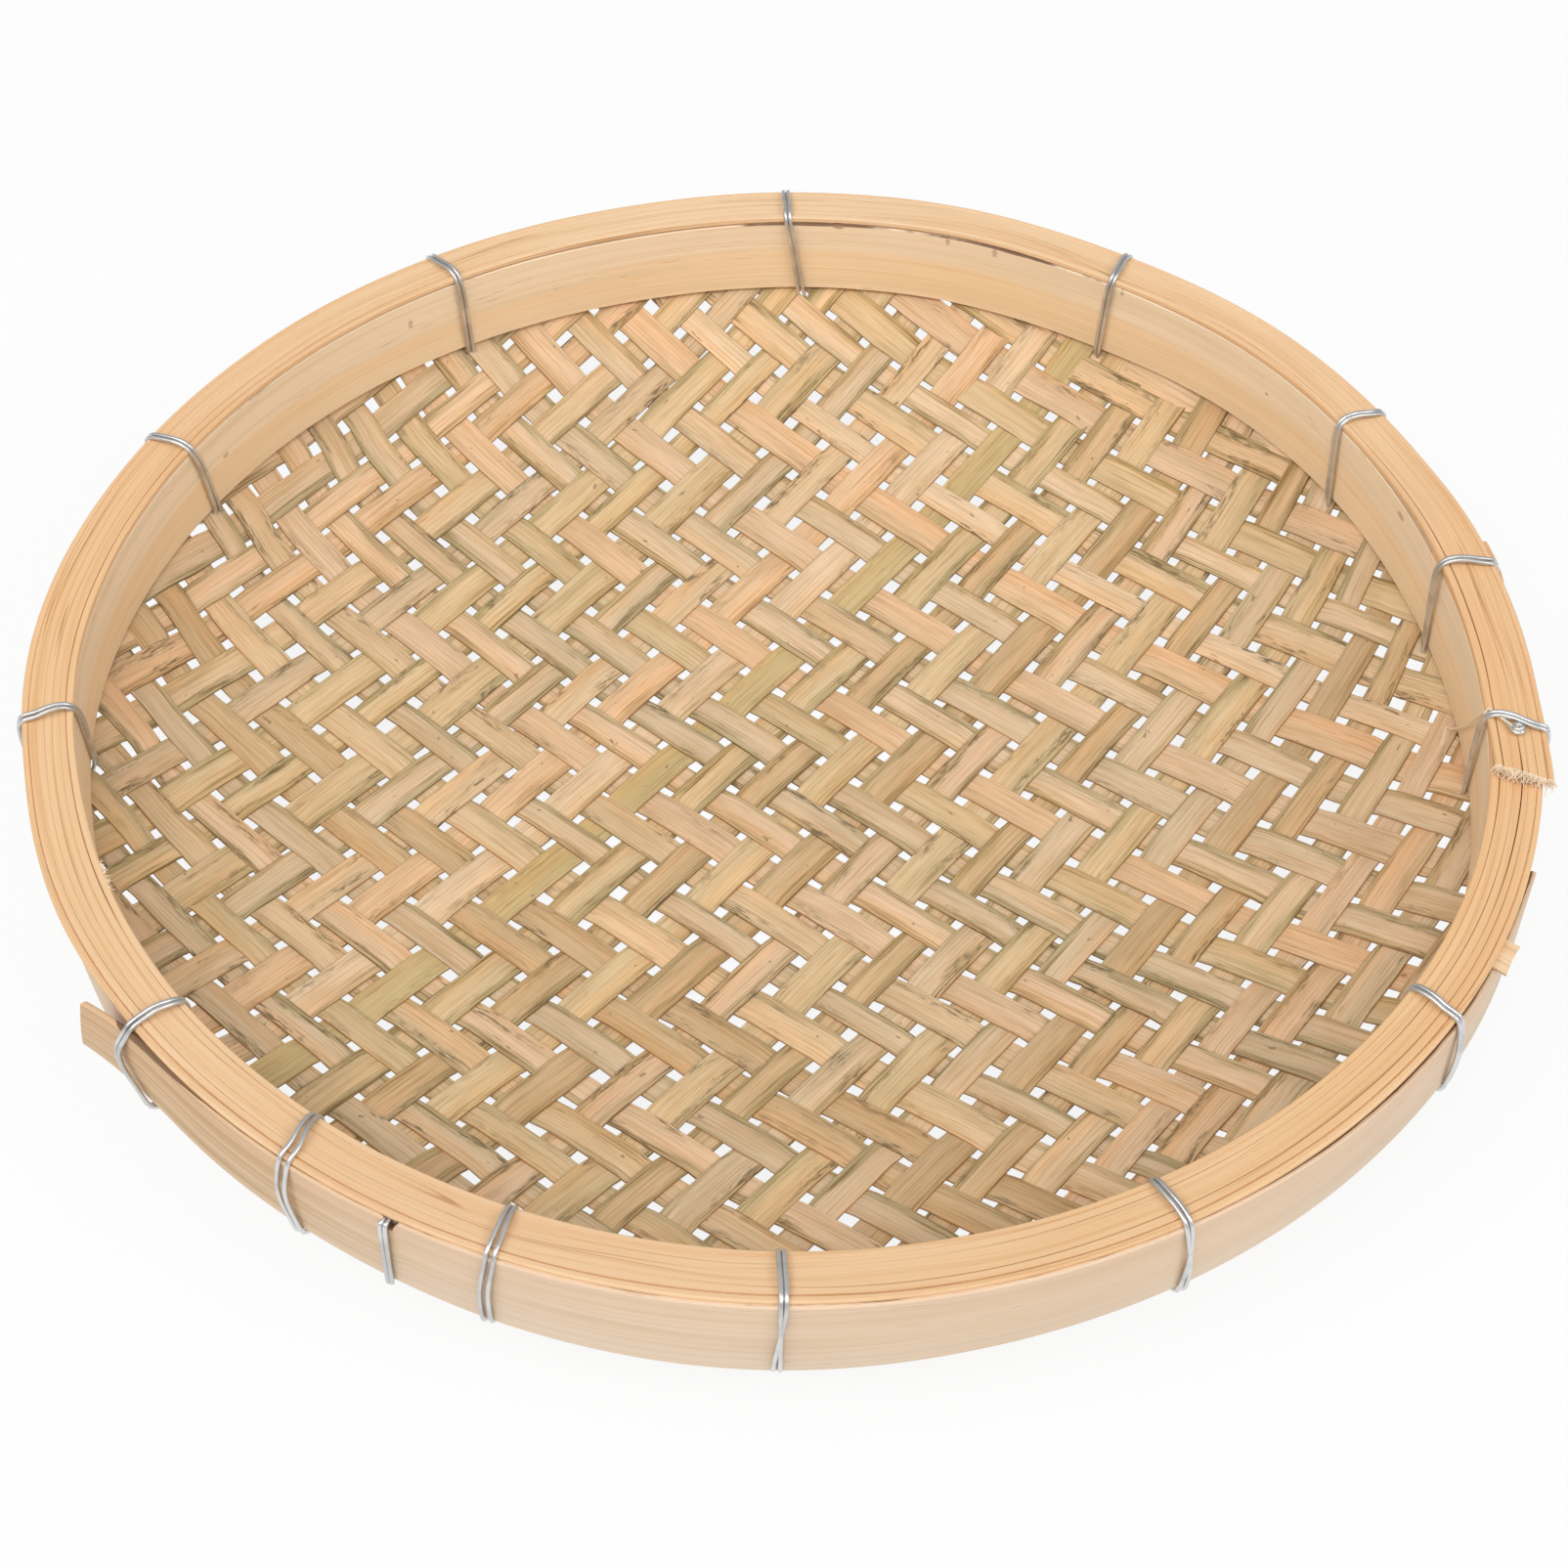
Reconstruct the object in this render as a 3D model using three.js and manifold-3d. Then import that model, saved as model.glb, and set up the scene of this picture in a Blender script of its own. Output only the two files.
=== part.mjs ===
// A round woven bamboo basket: a shallow tray of twill-woven splints held in a wire-bound double hoop.
// Millimetres and degrees, +Z up. The origin is on the axis of the rim, at the lowest face of the mat.
import * as THREE from 'three';
import { mergeVertices } from 'three/addons/utils/BufferGeometryUtils.js';
import Module from 'manifold-3d';

const wasm = await Module();
wasm.setup();

// Clearances and the facets of the round pieces
const SEAT_GAP = 0.3;
const FACET_STEP = 8;
const FACET_LEAST = 0.4;
const JOINT_GAP = 0.8;

// Hoops, from the inside of the rim outwards
const RIM_INNER_RADIUS = 139.5;
const RIM_HEIGHT = 20.6;
const INNER_HOOP_THICKNESS = 2.2;
const COLLAR_THICKNESS = 1.6;
const FILLER_HOOP_THICKNESS = 2.4;
const OUTER_HOOP_THICKNESS = 1.4;
const INNER_HOOP_JOINT = 211;
const FILLER_HOOP_JOINT = 30;
const OUTER_HOOP_JOINT = 275;

// Lap strip outside the joint of the outer hoop: its free end is cut on the slant and has sprung
// away from the rim, and its sawn end has lifted a little
const LAP_THICKNESS = 1.2;
const LAP_FREE_END = 212.5;
const LAP_SAWN_END = 340;
const LAP_SPRING_ANGLE = 11;
const LAP_SPRING_OUT = 3.2;
const LAP_SPRING_STEPS = 5;
const LAP_SLANT_ANGLE = 3.2;
const LAP_END_HEIGHT = 0.8;
const LAP_LIFT_ANGLE = 4;
const LAP_LIFT_OUT = 0.5;

// Cap over the whole rim, one flat strip split lengthwise into strands, its ends lapped over each other
const CAP_THICKNESS = 1.6;
const CAP_STRANDS = 7;
const CAP_OVERHANG = 0.6;
const CAP_UPPER_END = -11.5;
const CAP_LOWER_END = 13;
const CAP_CLEAR = 1;
const CAP_RAMP = 14;
const CAP_RAMP_STEPS = 4;

// Mat of crossed strips: the straight set lies at -38.5 degrees, the woven set at 52.5
const STRAIGHT_ANGLE = -38.5;
const WOVEN_ANGLE = 52.5;
const STRAIGHT_PITCH = 9.56;
const WOVEN_PITCH = 9.42;
const STRAIGHT_OFFSET = -1.47;
const WOVEN_OFFSET = -2.13;
const STRIP_WIDTH = 7.2;
const STRIP_THICKNESS = 0.65;
const TWILL_OVER = 2;
const TWILL_PHASE = 1;
const DISH_DEPTH = 19;
const DISH_FLAT_RADIUS = 28;
const DISH_POWER = 1.9;
const COLLAR_HEIGHT = 14;
const END_RUN = 1.4;
const END_LEAST = 0.5;

// Wire ties, two turns each, at the places round the rim where they sit
const WIRE_DIAMETER = 0.9;
const WIRE_SIDES = 5;
const WIRE_TURNS = 2;
const WIRE_TURN_GAP = 0.45;
const WIRE_BEND = 1.1;
const TIE_ANGLES = [
  90.5, 58.8, 30.8, 11.3, 352.9, 324.1, 297.4, 270.5, 251.1, 235, 219.6, 187.7, 155.6, 123.2,
];
const LAP_TIE_ANGLE = 243.5;
const LAP_TIE_DROP = 1.6;

// Sizes that follow
const WIRE_RADIUS = WIRE_DIAMETER / 2;
const WIRE_SEAT = SEAT_GAP + WIRE_RADIUS;
const WIRE_PITCH = WIRE_DIAMETER + WIRE_TURN_GAP;
const FACET_COSINE = Math.cos(THREE.MathUtils.degToRad(FACET_STEP / 2));
const WEAVE_STEP = STRIP_THICKNESS + SEAT_GAP;
const MAT_HALF = WEAVE_STEP + STRIP_THICKNESS / 2;
const RIM_BASE = 2 * MAT_HALF + DISH_DEPTH + SEAT_GAP;
const RIM_TOP = RIM_BASE + RIM_HEIGHT;
const CAP_BOTTOM = RIM_TOP - CAP_THICKNESS;
const HOOP_TOP = CAP_BOTTOM - SEAT_GAP;
const INNER_HOOP_OUTER = RIM_INNER_RADIUS + INNER_HOOP_THICKNESS;
const COLLAR_INNER = INNER_HOOP_OUTER + SEAT_GAP;
const COLLAR_OUTER = COLLAR_INNER + COLLAR_THICKNESS;
const STRAIGHT_END = COLLAR_INNER * FACET_COSINE - SEAT_GAP;
const FILLER_INNER = COLLAR_OUTER + SEAT_GAP;
const FILLER_OUTER = FILLER_INNER + FILLER_HOOP_THICKNESS;
const OUTER_HOOP_INNER = FILLER_OUTER + WIRE_DIAMETER + 2 * SEAT_GAP;
const OUTER_HOOP_OUTER = OUTER_HOOP_INNER + OUTER_HOOP_THICKNESS;
const LAP_INNER = OUTER_HOOP_OUTER + SEAT_GAP;
const CAP_OUTER = OUTER_HOOP_OUTER + CAP_OVERHANG;
const STRAND_PITCH = (CAP_OUTER - RIM_INNER_RADIUS + SEAT_GAP) / CAP_STRANDS;

const radians = THREE.MathUtils.degToRad;
const smooth = (value) => THREE.MathUtils.smoothstep(value, 0, 1);

// Materials
const material = (color, roughness, metalness) => {
  return new THREE.MeshStandardMaterial({ color, roughness, metalness });
};
const hoopBamboo = () => material(0xd9b98c, 0.62, 0);
const capBamboo = () => material(0xe8bd8c, 0.6, 0);
const straightBamboo = () => material(0xd8b07c, 0.66, 0);
const wovenBamboo = () => material(0xc9b07e, 0.66, 0);
const wireSteel = () => material(0xb4b8ba, 0.35, 0.9);

// One closed solid from rows of corners, with the same number of corners in every row
function solidFromRows(rows, closed = false) {
  const sides = rows[0].length;
  const steps = closed ? rows.length : rows.length - 1;
  const faces = [];
  for (let step = 0; step < steps; step += 1) {
    const here = sides * step;
    const next = sides * ((step + 1) % rows.length);
    for (let side = 0; side < sides; side += 1) {
      const turn = (side + 1) % sides;
      faces.push(here + side, here + turn, next + turn, here + side, next + turn, next + side);
    }
  }
  if (!closed) {
    const last = sides * (rows.length - 1);
    for (let side = 1; side < sides - 1; side += 1) {
      faces.push(0, side + 1, side, last, last + side, last + side + 1);
    }
  }
  const geometry = new THREE.BufferGeometry();
  const corners = rows.flat().flatMap((corner) => corner.toArray());
  geometry.setAttribute('position', new THREE.Float32BufferAttribute(corners, 3));
  geometry.setIndex(faces);
  return geometry;
}

// Booleans between closed solids
function manifoldFrom(geometry) {
  const vertProperties = new Float32Array(geometry.attributes.position.array);
  const triVerts = new Uint32Array(geometry.index.array);
  return new wasm.Manifold(new wasm.Mesh({ numProp: 3, vertProperties, triVerts }));
}

function geometryFrom(manifold) {
  const mesh = manifold.getMesh();
  const geometry = new THREE.BufferGeometry();
  geometry.setAttribute('position', new THREE.BufferAttribute(mesh.vertProperties, 3));
  geometry.setIndex(new THREE.BufferAttribute(mesh.triVerts, 1));
  return geometry;
}

function named(name, geometry, meshMaterial) {
  geometry.computeVertexNormals();
  const mesh = new THREE.Mesh(geometry, meshMaterial);
  mesh.name = name;
  return mesh;
}

// A point of a ring, on facets that all the rings share
function ringPoint(radius, angle, height) {
  const within = THREE.MathUtils.euclideanModulo(angle, FACET_STEP) - FACET_STEP / 2;
  const faceted = (radius * FACET_COSINE) / Math.cos(radians(within));
  return new THREE.Vector3(faceted * Math.cos(radians(angle)), faceted * Math.sin(radians(angle)), height);
}

// Angles from one end to the other, with the facet corners between them
function anglesBetween(from, to, extra = []) {
  const angles = [from, to, ...extra];
  for (let angle = Math.ceil(from / FACET_STEP) * FACET_STEP; angle < to; angle += FACET_STEP) {
    if (angles.every((other) => Math.abs(other - angle) > FACET_LEAST)) {
      angles.push(angle);
    }
  }
  return angles.sort((a, b) => a - b);
}

// A strip bent round the rim, with its section worked out at each angle
function bentStrip(angles, sectionAt) {
  const rows = angles.map((angle) => {
    const { inner, outer, low, high } = sectionAt(angle);
    return [
      ringPoint(inner, angle, low),
      ringPoint(inner, angle, high),
      ringPoint(outer, angle, high),
      ringPoint(outer, angle, low),
    ];
  });
  return solidFromRows(rows);
}

function openHoop(inner, outer, low, high, jointAngle) {
  const halfGap = THREE.MathUtils.radToDeg(JOINT_GAP / (inner + outer));
  const angles = anglesBetween(jointAngle + halfGap, jointAngle + 360 - halfGap);
  return bentStrip(angles, () => ({ inner, outer, low, high }));
}

// Lap strip: how far it stands off its seat, and how much its slanted end takes off its top, at an angle
function lapStandOff(angle) {
  const spring = Math.max(0, 1 - (angle - LAP_FREE_END) / LAP_SPRING_ANGLE);
  const lift = Math.max(0, 1 - (LAP_SAWN_END - angle) / LAP_LIFT_ANGLE);
  return LAP_SPRING_OUT * spring ** 2 + LAP_LIFT_OUT * lift;
}

function lapEndCut(angle) {
  const missing = Math.max(0, 1 - (angle - LAP_FREE_END) / LAP_SLANT_ANGLE);
  return (HOOP_TOP - RIM_BASE - LAP_END_HEIGHT) * missing;
}

function lapStrip() {
  const extra = [LAP_FREE_END + LAP_SLANT_ANGLE, LAP_SAWN_END - LAP_LIFT_ANGLE];
  for (let step = 1; step <= LAP_SPRING_STEPS; step += 1) {
    extra.push(LAP_FREE_END + (LAP_SPRING_ANGLE * step) / LAP_SPRING_STEPS);
  }
  const angles = anglesBetween(LAP_FREE_END, LAP_SAWN_END, extra);
  return bentStrip(angles, (angle) => ({
    inner: LAP_INNER + lapStandOff(angle),
    outer: LAP_INNER + LAP_THICKNESS + lapStandOff(angle),
    low: RIM_BASE,
    high: HOOP_TOP - lapEndCut(angle),
  }));
}

// Cap strands: the upper end rides on the lower end, then comes down to the hoops
function capRise(angle) {
  return (CAP_THICKNESS + SEAT_GAP) * (1 - smooth((angle - CAP_LOWER_END - CAP_CLEAR) / CAP_RAMP));
}

function capStrand(index) {
  const inner = RIM_INNER_RADIUS + index * STRAND_PITCH;
  const ramp = Array.from({ length: CAP_RAMP_STEPS + 1 }, (_, step) => {
    return CAP_LOWER_END + CAP_CLEAR + (CAP_RAMP * step) / CAP_RAMP_STEPS;
  });
  const angles = anglesBetween(CAP_UPPER_END, CAP_LOWER_END + 360, ramp);
  return bentStrip(angles, (angle) => ({
    inner,
    outer: inner + STRAND_PITCH - SEAT_GAP,
    low: CAP_BOTTOM + capRise(angle),
    high: RIM_TOP + capRise(angle),
  }));
}

// Mat: height of its middle over the floor at a distance from the axis
function matHeight(radius) {
  const share = (radius - DISH_FLAT_RADIUS) / (COLLAR_INNER - DISH_FLAT_RADIUS);
  return MAT_HALF + DISH_DEPTH * Math.max(share, 0) ** DISH_POWER;
}

const direction = (angle) => new THREE.Vector2(Math.cos(radians(angle)), Math.sin(radians(angle)));
const straightDirection = direction(STRAIGHT_ANGLE);
const wovenDirection = direction(WOVEN_ANGLE);

// A point of the mat, by its places along the two directions and its rise over the mat's middle
function matPoint(alongStraight, alongWoven, rise) {
  const x = alongStraight * straightDirection.x + alongWoven * wovenDirection.x;
  const y = alongStraight * straightDirection.y + alongWoven * wovenDirection.y;
  return new THREE.Vector3(x, y, matHeight(Math.hypot(x, y)) + rise);
}

// The two places where a line of the mat, at a distance across, meets a circle
const crossing = straightDirection.dot(wovenDirection);
function chordEnds(across, radius) {
  const middle = -across * crossing;
  const half = Math.sqrt(Math.max(0, radius ** 2 - across ** 2 * (1 - crossing ** 2)));
  return [middle - half, middle + half];
}

// One strip: edges at each side of its middle line, places along it, and its rise at each place
function matStrip(middle, places, endRadius, isWoven) {
  const edges = [middle - STRIP_WIDTH / 2, middle + STRIP_WIDTH / 2];
  const ends = edges.map((edge) => chordEnds(edge, endRadius));
  const low = Math.max(ends[0][0], ends[1][0]) + END_LEAST;
  const high = Math.min(ends[0][1], ends[1][1]) - END_LEAST;
  const inside = places.filter((place) => place.at > low && place.at < high);
  const stops = inside.map((place) => ({ alongs: [place.at, place.at], rise: place.rise }));
  const beforeFirst = places.findLast((place) => place.at <= low);
  const firstRise = (stops[0] ?? beforeFirst).rise;
  const lastRise = (stops[stops.length - 1] ?? beforeFirst).rise;
  stops.unshift({ alongs: [ends[0][0], ends[1][0]], rise: firstRise });
  stops.push({ alongs: [ends[0][1], ends[1][1]], rise: lastRise });
  const corner = (along, across, rise) => {
    return isWoven ? matPoint(across, along, rise) : matPoint(along, across, rise);
  };
  const rows = splitEndRuns(stops).map(({ alongs, rise }) => {
    const bottom = edges.map((edge, side) => corner(alongs[side], edge, rise - STRIP_THICKNESS / 2));
    const top = edges.map((edge, side) => corner(alongs[side], edge, rise + STRIP_THICKNESS / 2));
    return isWoven ? [bottom[0], top[0], top[1], bottom[1]] : [bottom[0], bottom[1], top[1], top[0]];
  });
  return solidFromRows(rows);
}

// Long first and last runs are split, so that oblique ends still follow the dish
function splitEndRuns(stops) {
  const longest = END_RUN * Math.max(STRAIGHT_PITCH, WOVEN_PITCH);
  return stops.flatMap((stop, index) => {
    const next = stops[index + 1];
    if (index > 0 && index !== stops.length - 2) {
      return [stop];
    }
    const runs = stop.alongs.map((along, side) => next.alongs[side] - along);
    const pieces = Math.ceil(Math.max(...runs) / longest);
    return Array.from({ length: pieces }, (_, piece) => {
      const alongs = stop.alongs.map((along, side) => along + (runs[side] * piece) / pieces);
      return { alongs, rise: stop.rise };
    });
  });
}

// Numbers of the strips that fit inside a circle
function stripNumbers(pitch, offset, radius) {
  const reach = radius - STRIP_WIDTH / 2 - SEAT_GAP;
  const numbers = [];
  for (let number = Math.ceil((-reach - offset) / pitch); offset + number * pitch <= reach; number += 1) {
    numbers.push(number);
  }
  return numbers;
}

// Crossings from the middle of the mat to past its edge, each way
const crossingsOut = (pitch) => Math.ceil(COLLAR_OUTER / pitch) + TWILL_OVER;

// Straight strips bend only with the dish, so a place every second crossing is enough
function straightPlaces() {
  const places = [];
  const reach = crossingsOut(WOVEN_PITCH);
  for (let number = -reach; number <= reach; number += TWILL_OVER) {
    places.push({ at: WOVEN_OFFSET + number * WOVEN_PITCH, rise: 0 });
  }
  return places;
}

// Woven strips pass over two straight ones and under two, each strip one step on from the last
function wovenPlaces(number) {
  const period = 2 * TWILL_OVER;
  const reach = crossingsOut(STRAIGHT_PITCH);
  const places = [];
  for (let other = -reach; other <= reach; other += 1) {
    const turn = THREE.MathUtils.euclideanModulo(number - other - TWILL_PHASE, period);
    const middle = STRAIGHT_OFFSET + other * STRAIGHT_PITCH;
    const rise = turn < TWILL_OVER ? -WEAVE_STEP : WEAVE_STEP;
    const isFirst = turn % TWILL_OVER === TWILL_OVER - 1;
    const side = isFirst ? -1 : 1;
    if (isFirst || turn % TWILL_OVER === 0) {
      places.push({ at: middle + (side * STRIP_WIDTH) / 2, rise });
    }
  }
  return places;
}

// Wire ties: where they run at each side of the rim
const WIRE_INSIDE = RIM_INNER_RADIUS * FACET_COSINE - WIRE_SEAT;
const COLLAR_LOW = RIM_BASE - SEAT_GAP - 2 * MAT_HALF;
const WIRE_UNDER = matHeight(WIRE_INSIDE + WIRE_SEAT) - MAT_HALF - WIRE_SEAT;
const halfTieAngle = THREE.MathUtils.radToDeg((WIRE_TURNS * WIRE_PITCH) / RIM_INNER_RADIUS);

function rimOutside(angle) {
  const onLap = angle > LAP_FREE_END - halfTieAngle && angle < LAP_SAWN_END + halfTieAngle;
  const reach = Math.max(lapStandOff(angle - halfTieAngle), lapStandOff(angle + halfTieAngle));
  return onLap ? Math.max(LAP_INNER + LAP_THICKNESS + reach, CAP_OUTER) : CAP_OUTER;
}

function rimTopAt(angle) {
  const turned = angle > 180 ? angle - 360 : angle;
  const onLap = turned > CAP_UPPER_END - halfTieAngle;
  return RIM_TOP + (onLap ? capRise(Math.max(turned, CAP_UPPER_END) - halfTieAngle) : 0);
}

// A loop with rounded corners, as points of a plane through the axis: x is the radius and y the height
const CORNER_POINTS = 3;
function roundedLoop(corners) {
  return corners.flatMap((corner, index) => {
    const [before, after] = [corners.length - 1, 1].map((step) => {
      return corners[(index + step) % corners.length].clone().sub(corner).setLength(WIRE_BEND);
    });
    const middle = before.clone().add(after).multiplyScalar(0.25);
    return [before, middle, after].map((step) => corner.clone().add(step));
  });
}

// Wire wound round a loop, as one unbroken tube that moves one pitch sideways in each turn
function woundWire(loop, angle, turns) {
  const outward = new THREE.Vector3(Math.cos(radians(angle)), Math.sin(radians(angle)), 0);
  const sideways = new THREE.Vector3(-outward.y, outward.x, 0);
  const count = loop.length * turns;
  const points = [];
  for (let step = 0; step < count; step += 1) {
    const place = loop[step % loop.length];
    const shift = WIRE_PITCH * (step / loop.length - turns / 2);
    points.push(outward.clone().multiplyScalar(place.x).addScaledVector(sideways, shift).setZ(place.y));
  }
  const rows = points.map((point, index) => {
    const before = points[Math.max(index - 1, 0)];
    const after = points[Math.min(index + 1, count - 1)];
    const along = after.clone().sub(before).normalize();
    const normal = along.clone().cross(sideways).normalize();
    const side = along.clone().cross(normal);
    return Array.from({ length: WIRE_SIDES }, (_, corner) => {
      const turn = (2 * Math.PI * corner) / WIRE_SIDES;
      const offset = normal.clone().multiplyScalar(Math.cos(turn)).addScaledVector(side, Math.sin(turn));
      return point.clone().addScaledVector(offset, WIRE_RADIUS);
    });
  });
  return { geometry: solidFromRows(rows), points };
}

function rimTie(angle) {
  const outside = rimOutside(angle) + WIRE_SEAT;
  const top = rimTopAt(angle) + WIRE_SEAT;
  const corners = [
    new THREE.Vector2(WIRE_INSIDE, WIRE_UNDER),
    new THREE.Vector2(WIRE_INSIDE, top),
    new THREE.Vector2(outside, top),
    new THREE.Vector2(outside, RIM_BASE - WIRE_SEAT),
    new THREE.Vector2(COLLAR_OUTER + WIRE_SEAT, WIRE_UNDER),
  ];
  return woundWire(roundedLoop(corners), angle, WIRE_TURNS);
}

// Least gap between the two turns of a wire, from the distance of its points to the next turn's runs
function leastGap(points, perTurn) {
  let least = Infinity;
  const closest = new THREE.Vector3();
  for (let first = 0; first < points.length; first += 1) {
    for (let second = first + perTurn - CORNER_POINTS; second < points.length - 1; second += 1) {
      const run = new THREE.Line3(points[second], points[second + 1]);
      run.closestPointToPoint(points[first], true, closest);
      least = Math.min(least, closest.distanceTo(points[first]) - WIRE_DIAMETER);
    }
  }
  return least;
}

// A box to cut with, at a radius, an angle and a height of the rim
function cuttingBox(deep, wide, high, radius, angle, height) {
  const box = new THREE.BoxGeometry(deep, wide, high);
  box.deleteAttribute('normal');
  box.deleteAttribute('uv');
  box.translate(radius, 0, height);
  box.rotateZ(radians(angle));
  return manifoldFrom(mergeVertices(box));
}

// Slot in the mat for the wires of one tie, inside the inner hoop
const WIRE_ROOM = WIRE_DIAMETER + 2 * SEAT_GAP;
function tieSlot(angle) {
  const wide = WIRE_TURNS * WIRE_PITCH + WIRE_ROOM;
  return cuttingBox(WIRE_ROOM, wide, RIM_HEIGHT, WIRE_INSIDE, angle, matHeight(WIRE_INSIDE));
}

const tieSlots = TIE_ANGLES.map(tieSlot);
const allSlots = tieSlots.reduce((joined, slot) => joined.add(slot));

// The straight strips end just short of the collar, under the inner hoop
function straightStrip(number) {
  const strip = matStrip(STRAIGHT_OFFSET + number * STRAIGHT_PITCH, straightPlaces(), STRAIGHT_END, false);
  return geometryFrom(manifoldFrom(strip).subtract(allSlots));
}

// The woven strips are fixed in the collar, the mat's edge turned up between the hoops
function wovenStrips() {
  const angles = anglesBetween(0, 360).slice(0, -1);
  const rows = angles.map((angle) => [
    ringPoint(COLLAR_INNER, angle, COLLAR_LOW),
    ringPoint(COLLAR_INNER, angle, RIM_BASE + COLLAR_HEIGHT),
    ringPoint(COLLAR_OUTER, angle, RIM_BASE + COLLAR_HEIGHT),
    ringPoint(COLLAR_OUTER, angle, COLLAR_LOW),
  ]);
  let mat = manifoldFrom(solidFromRows(rows, true));
  const endRadius = COLLAR_INNER + COLLAR_THICKNESS / 2;
  for (const number of stripNumbers(WOVEN_PITCH, WOVEN_OFFSET, COLLAR_INNER)) {
    const strip = matStrip(WOVEN_OFFSET + number * WOVEN_PITCH, wovenPlaces(number), endRadius, true);
    mat = mat.add(manifoldFrom(strip));
  }
  return geometryFrom(mat.subtract(allSlots));
}

// Hole through the outer hoop and the lap strip for the small tie
function lapTieHole() {
  const deep = 4 * (OUTER_HOOP_THICKNESS + LAP_THICKNESS);
  return cuttingBox(deep, WIRE_ROOM, WIRE_ROOM, LAP_INNER, LAP_TIE_ANGLE, HOOP_TOP - LAP_TIE_DROP);
}

function lapTie() {
  const inside = OUTER_HOOP_INNER * FACET_COSINE - WIRE_SEAT;
  const outside = LAP_INNER + LAP_THICKNESS + WIRE_SEAT;
  const corners = [
    new THREE.Vector2(inside, RIM_BASE - WIRE_SEAT),
    new THREE.Vector2(inside, HOOP_TOP - LAP_TIE_DROP),
    new THREE.Vector2(outside, HOOP_TOP - LAP_TIE_DROP),
    new THREE.Vector2(outside, RIM_BASE - WIRE_SEAT),
  ];
  return woundWire(roundedLoop(corners), LAP_TIE_ANGLE, 1);
}

// The assembly
const basket = new THREE.Group();
const rim = new THREE.Group();
const mat = new THREE.Group();
const ties = new THREE.Group();
basket.add(rim, mat, ties);

const hole = lapTieHole();
const outerHoop = openHoop(OUTER_HOOP_INNER, OUTER_HOOP_OUTER, RIM_BASE, HOOP_TOP, OUTER_HOOP_JOINT);
rim.add(named(
  'inner_hoop',
  openHoop(RIM_INNER_RADIUS, INNER_HOOP_OUTER, RIM_BASE, HOOP_TOP, INNER_HOOP_JOINT),
  hoopBamboo(),
));
rim.add(named(
  'filler_hoop',
  openHoop(FILLER_INNER, FILLER_OUTER, RIM_BASE, HOOP_TOP, FILLER_HOOP_JOINT),
  hoopBamboo(),
));
rim.add(named('outer_hoop', geometryFrom(manifoldFrom(outerHoop).subtract(hole)), hoopBamboo()));
rim.add(named('lap_strip', geometryFrom(manifoldFrom(lapStrip()).subtract(hole)), hoopBamboo()));
for (let index = 0; index < CAP_STRANDS; index += 1) {
  rim.add(named(`cap_strand_${index + 1}`, capStrand(index), capBamboo()));
}

mat.add(named('woven_strips', wovenStrips(), wovenBamboo()));
stripNumbers(STRAIGHT_PITCH, STRAIGHT_OFFSET, STRAIGHT_END).forEach((number, index) => {
  const name = `straight_strip_${String(index + 1).padStart(2, '0')}`;
  mat.add(named(name, straightStrip(number), straightBamboo()));
});

let leastWireGap = Infinity;
TIE_ANGLES.forEach((angle, index) => {
  const { geometry, points } = rimTie(angle);
  leastWireGap = Math.min(leastWireGap, leastGap(points, points.length / WIRE_TURNS));
  ties.add(named(`wire_tie_${String(index + 1).padStart(2, '0')}`, geometry, wireSteel()));
});
ties.add(named('lap_tie', lapTie().geometry, wireSteel()));
console.log(`Least gap between the turns of a wire tie: ${leastWireGap.toFixed(2)} mm`);

export default basket;
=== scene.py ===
import math
import random

import bmesh
import bpy
from mathutils import Matrix, Vector, noise


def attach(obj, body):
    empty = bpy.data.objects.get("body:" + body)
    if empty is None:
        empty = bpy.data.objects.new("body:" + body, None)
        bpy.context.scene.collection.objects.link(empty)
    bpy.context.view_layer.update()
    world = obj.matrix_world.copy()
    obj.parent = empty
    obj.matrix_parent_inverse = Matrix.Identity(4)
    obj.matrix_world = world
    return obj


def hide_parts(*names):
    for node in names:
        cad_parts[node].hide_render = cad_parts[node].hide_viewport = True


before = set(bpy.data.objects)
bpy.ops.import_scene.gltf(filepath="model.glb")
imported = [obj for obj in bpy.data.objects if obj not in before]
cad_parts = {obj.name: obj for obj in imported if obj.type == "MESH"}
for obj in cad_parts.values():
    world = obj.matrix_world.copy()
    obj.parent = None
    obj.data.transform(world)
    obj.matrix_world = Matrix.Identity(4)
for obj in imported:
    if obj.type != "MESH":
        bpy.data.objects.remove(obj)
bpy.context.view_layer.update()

# Camera. It stands in front of the basket and looks down into it from about 47 degrees above
# the table, framed as the photograph is.
PHOTO_SIDE = 1604
FOCAL_PIXELS = 2966.6
SENSOR_WIDTH = 36
RIM_BASE = 0.02185
CAMERA_DISTANCE = 0.5948
CAMERA_RISE = math.radians(47.32)
CAMERA_YAW = math.radians(0.023)
CAMERA_PITCH = math.radians(-1.18)
CAMERA_ROLL = math.radians(0.915)

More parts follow.
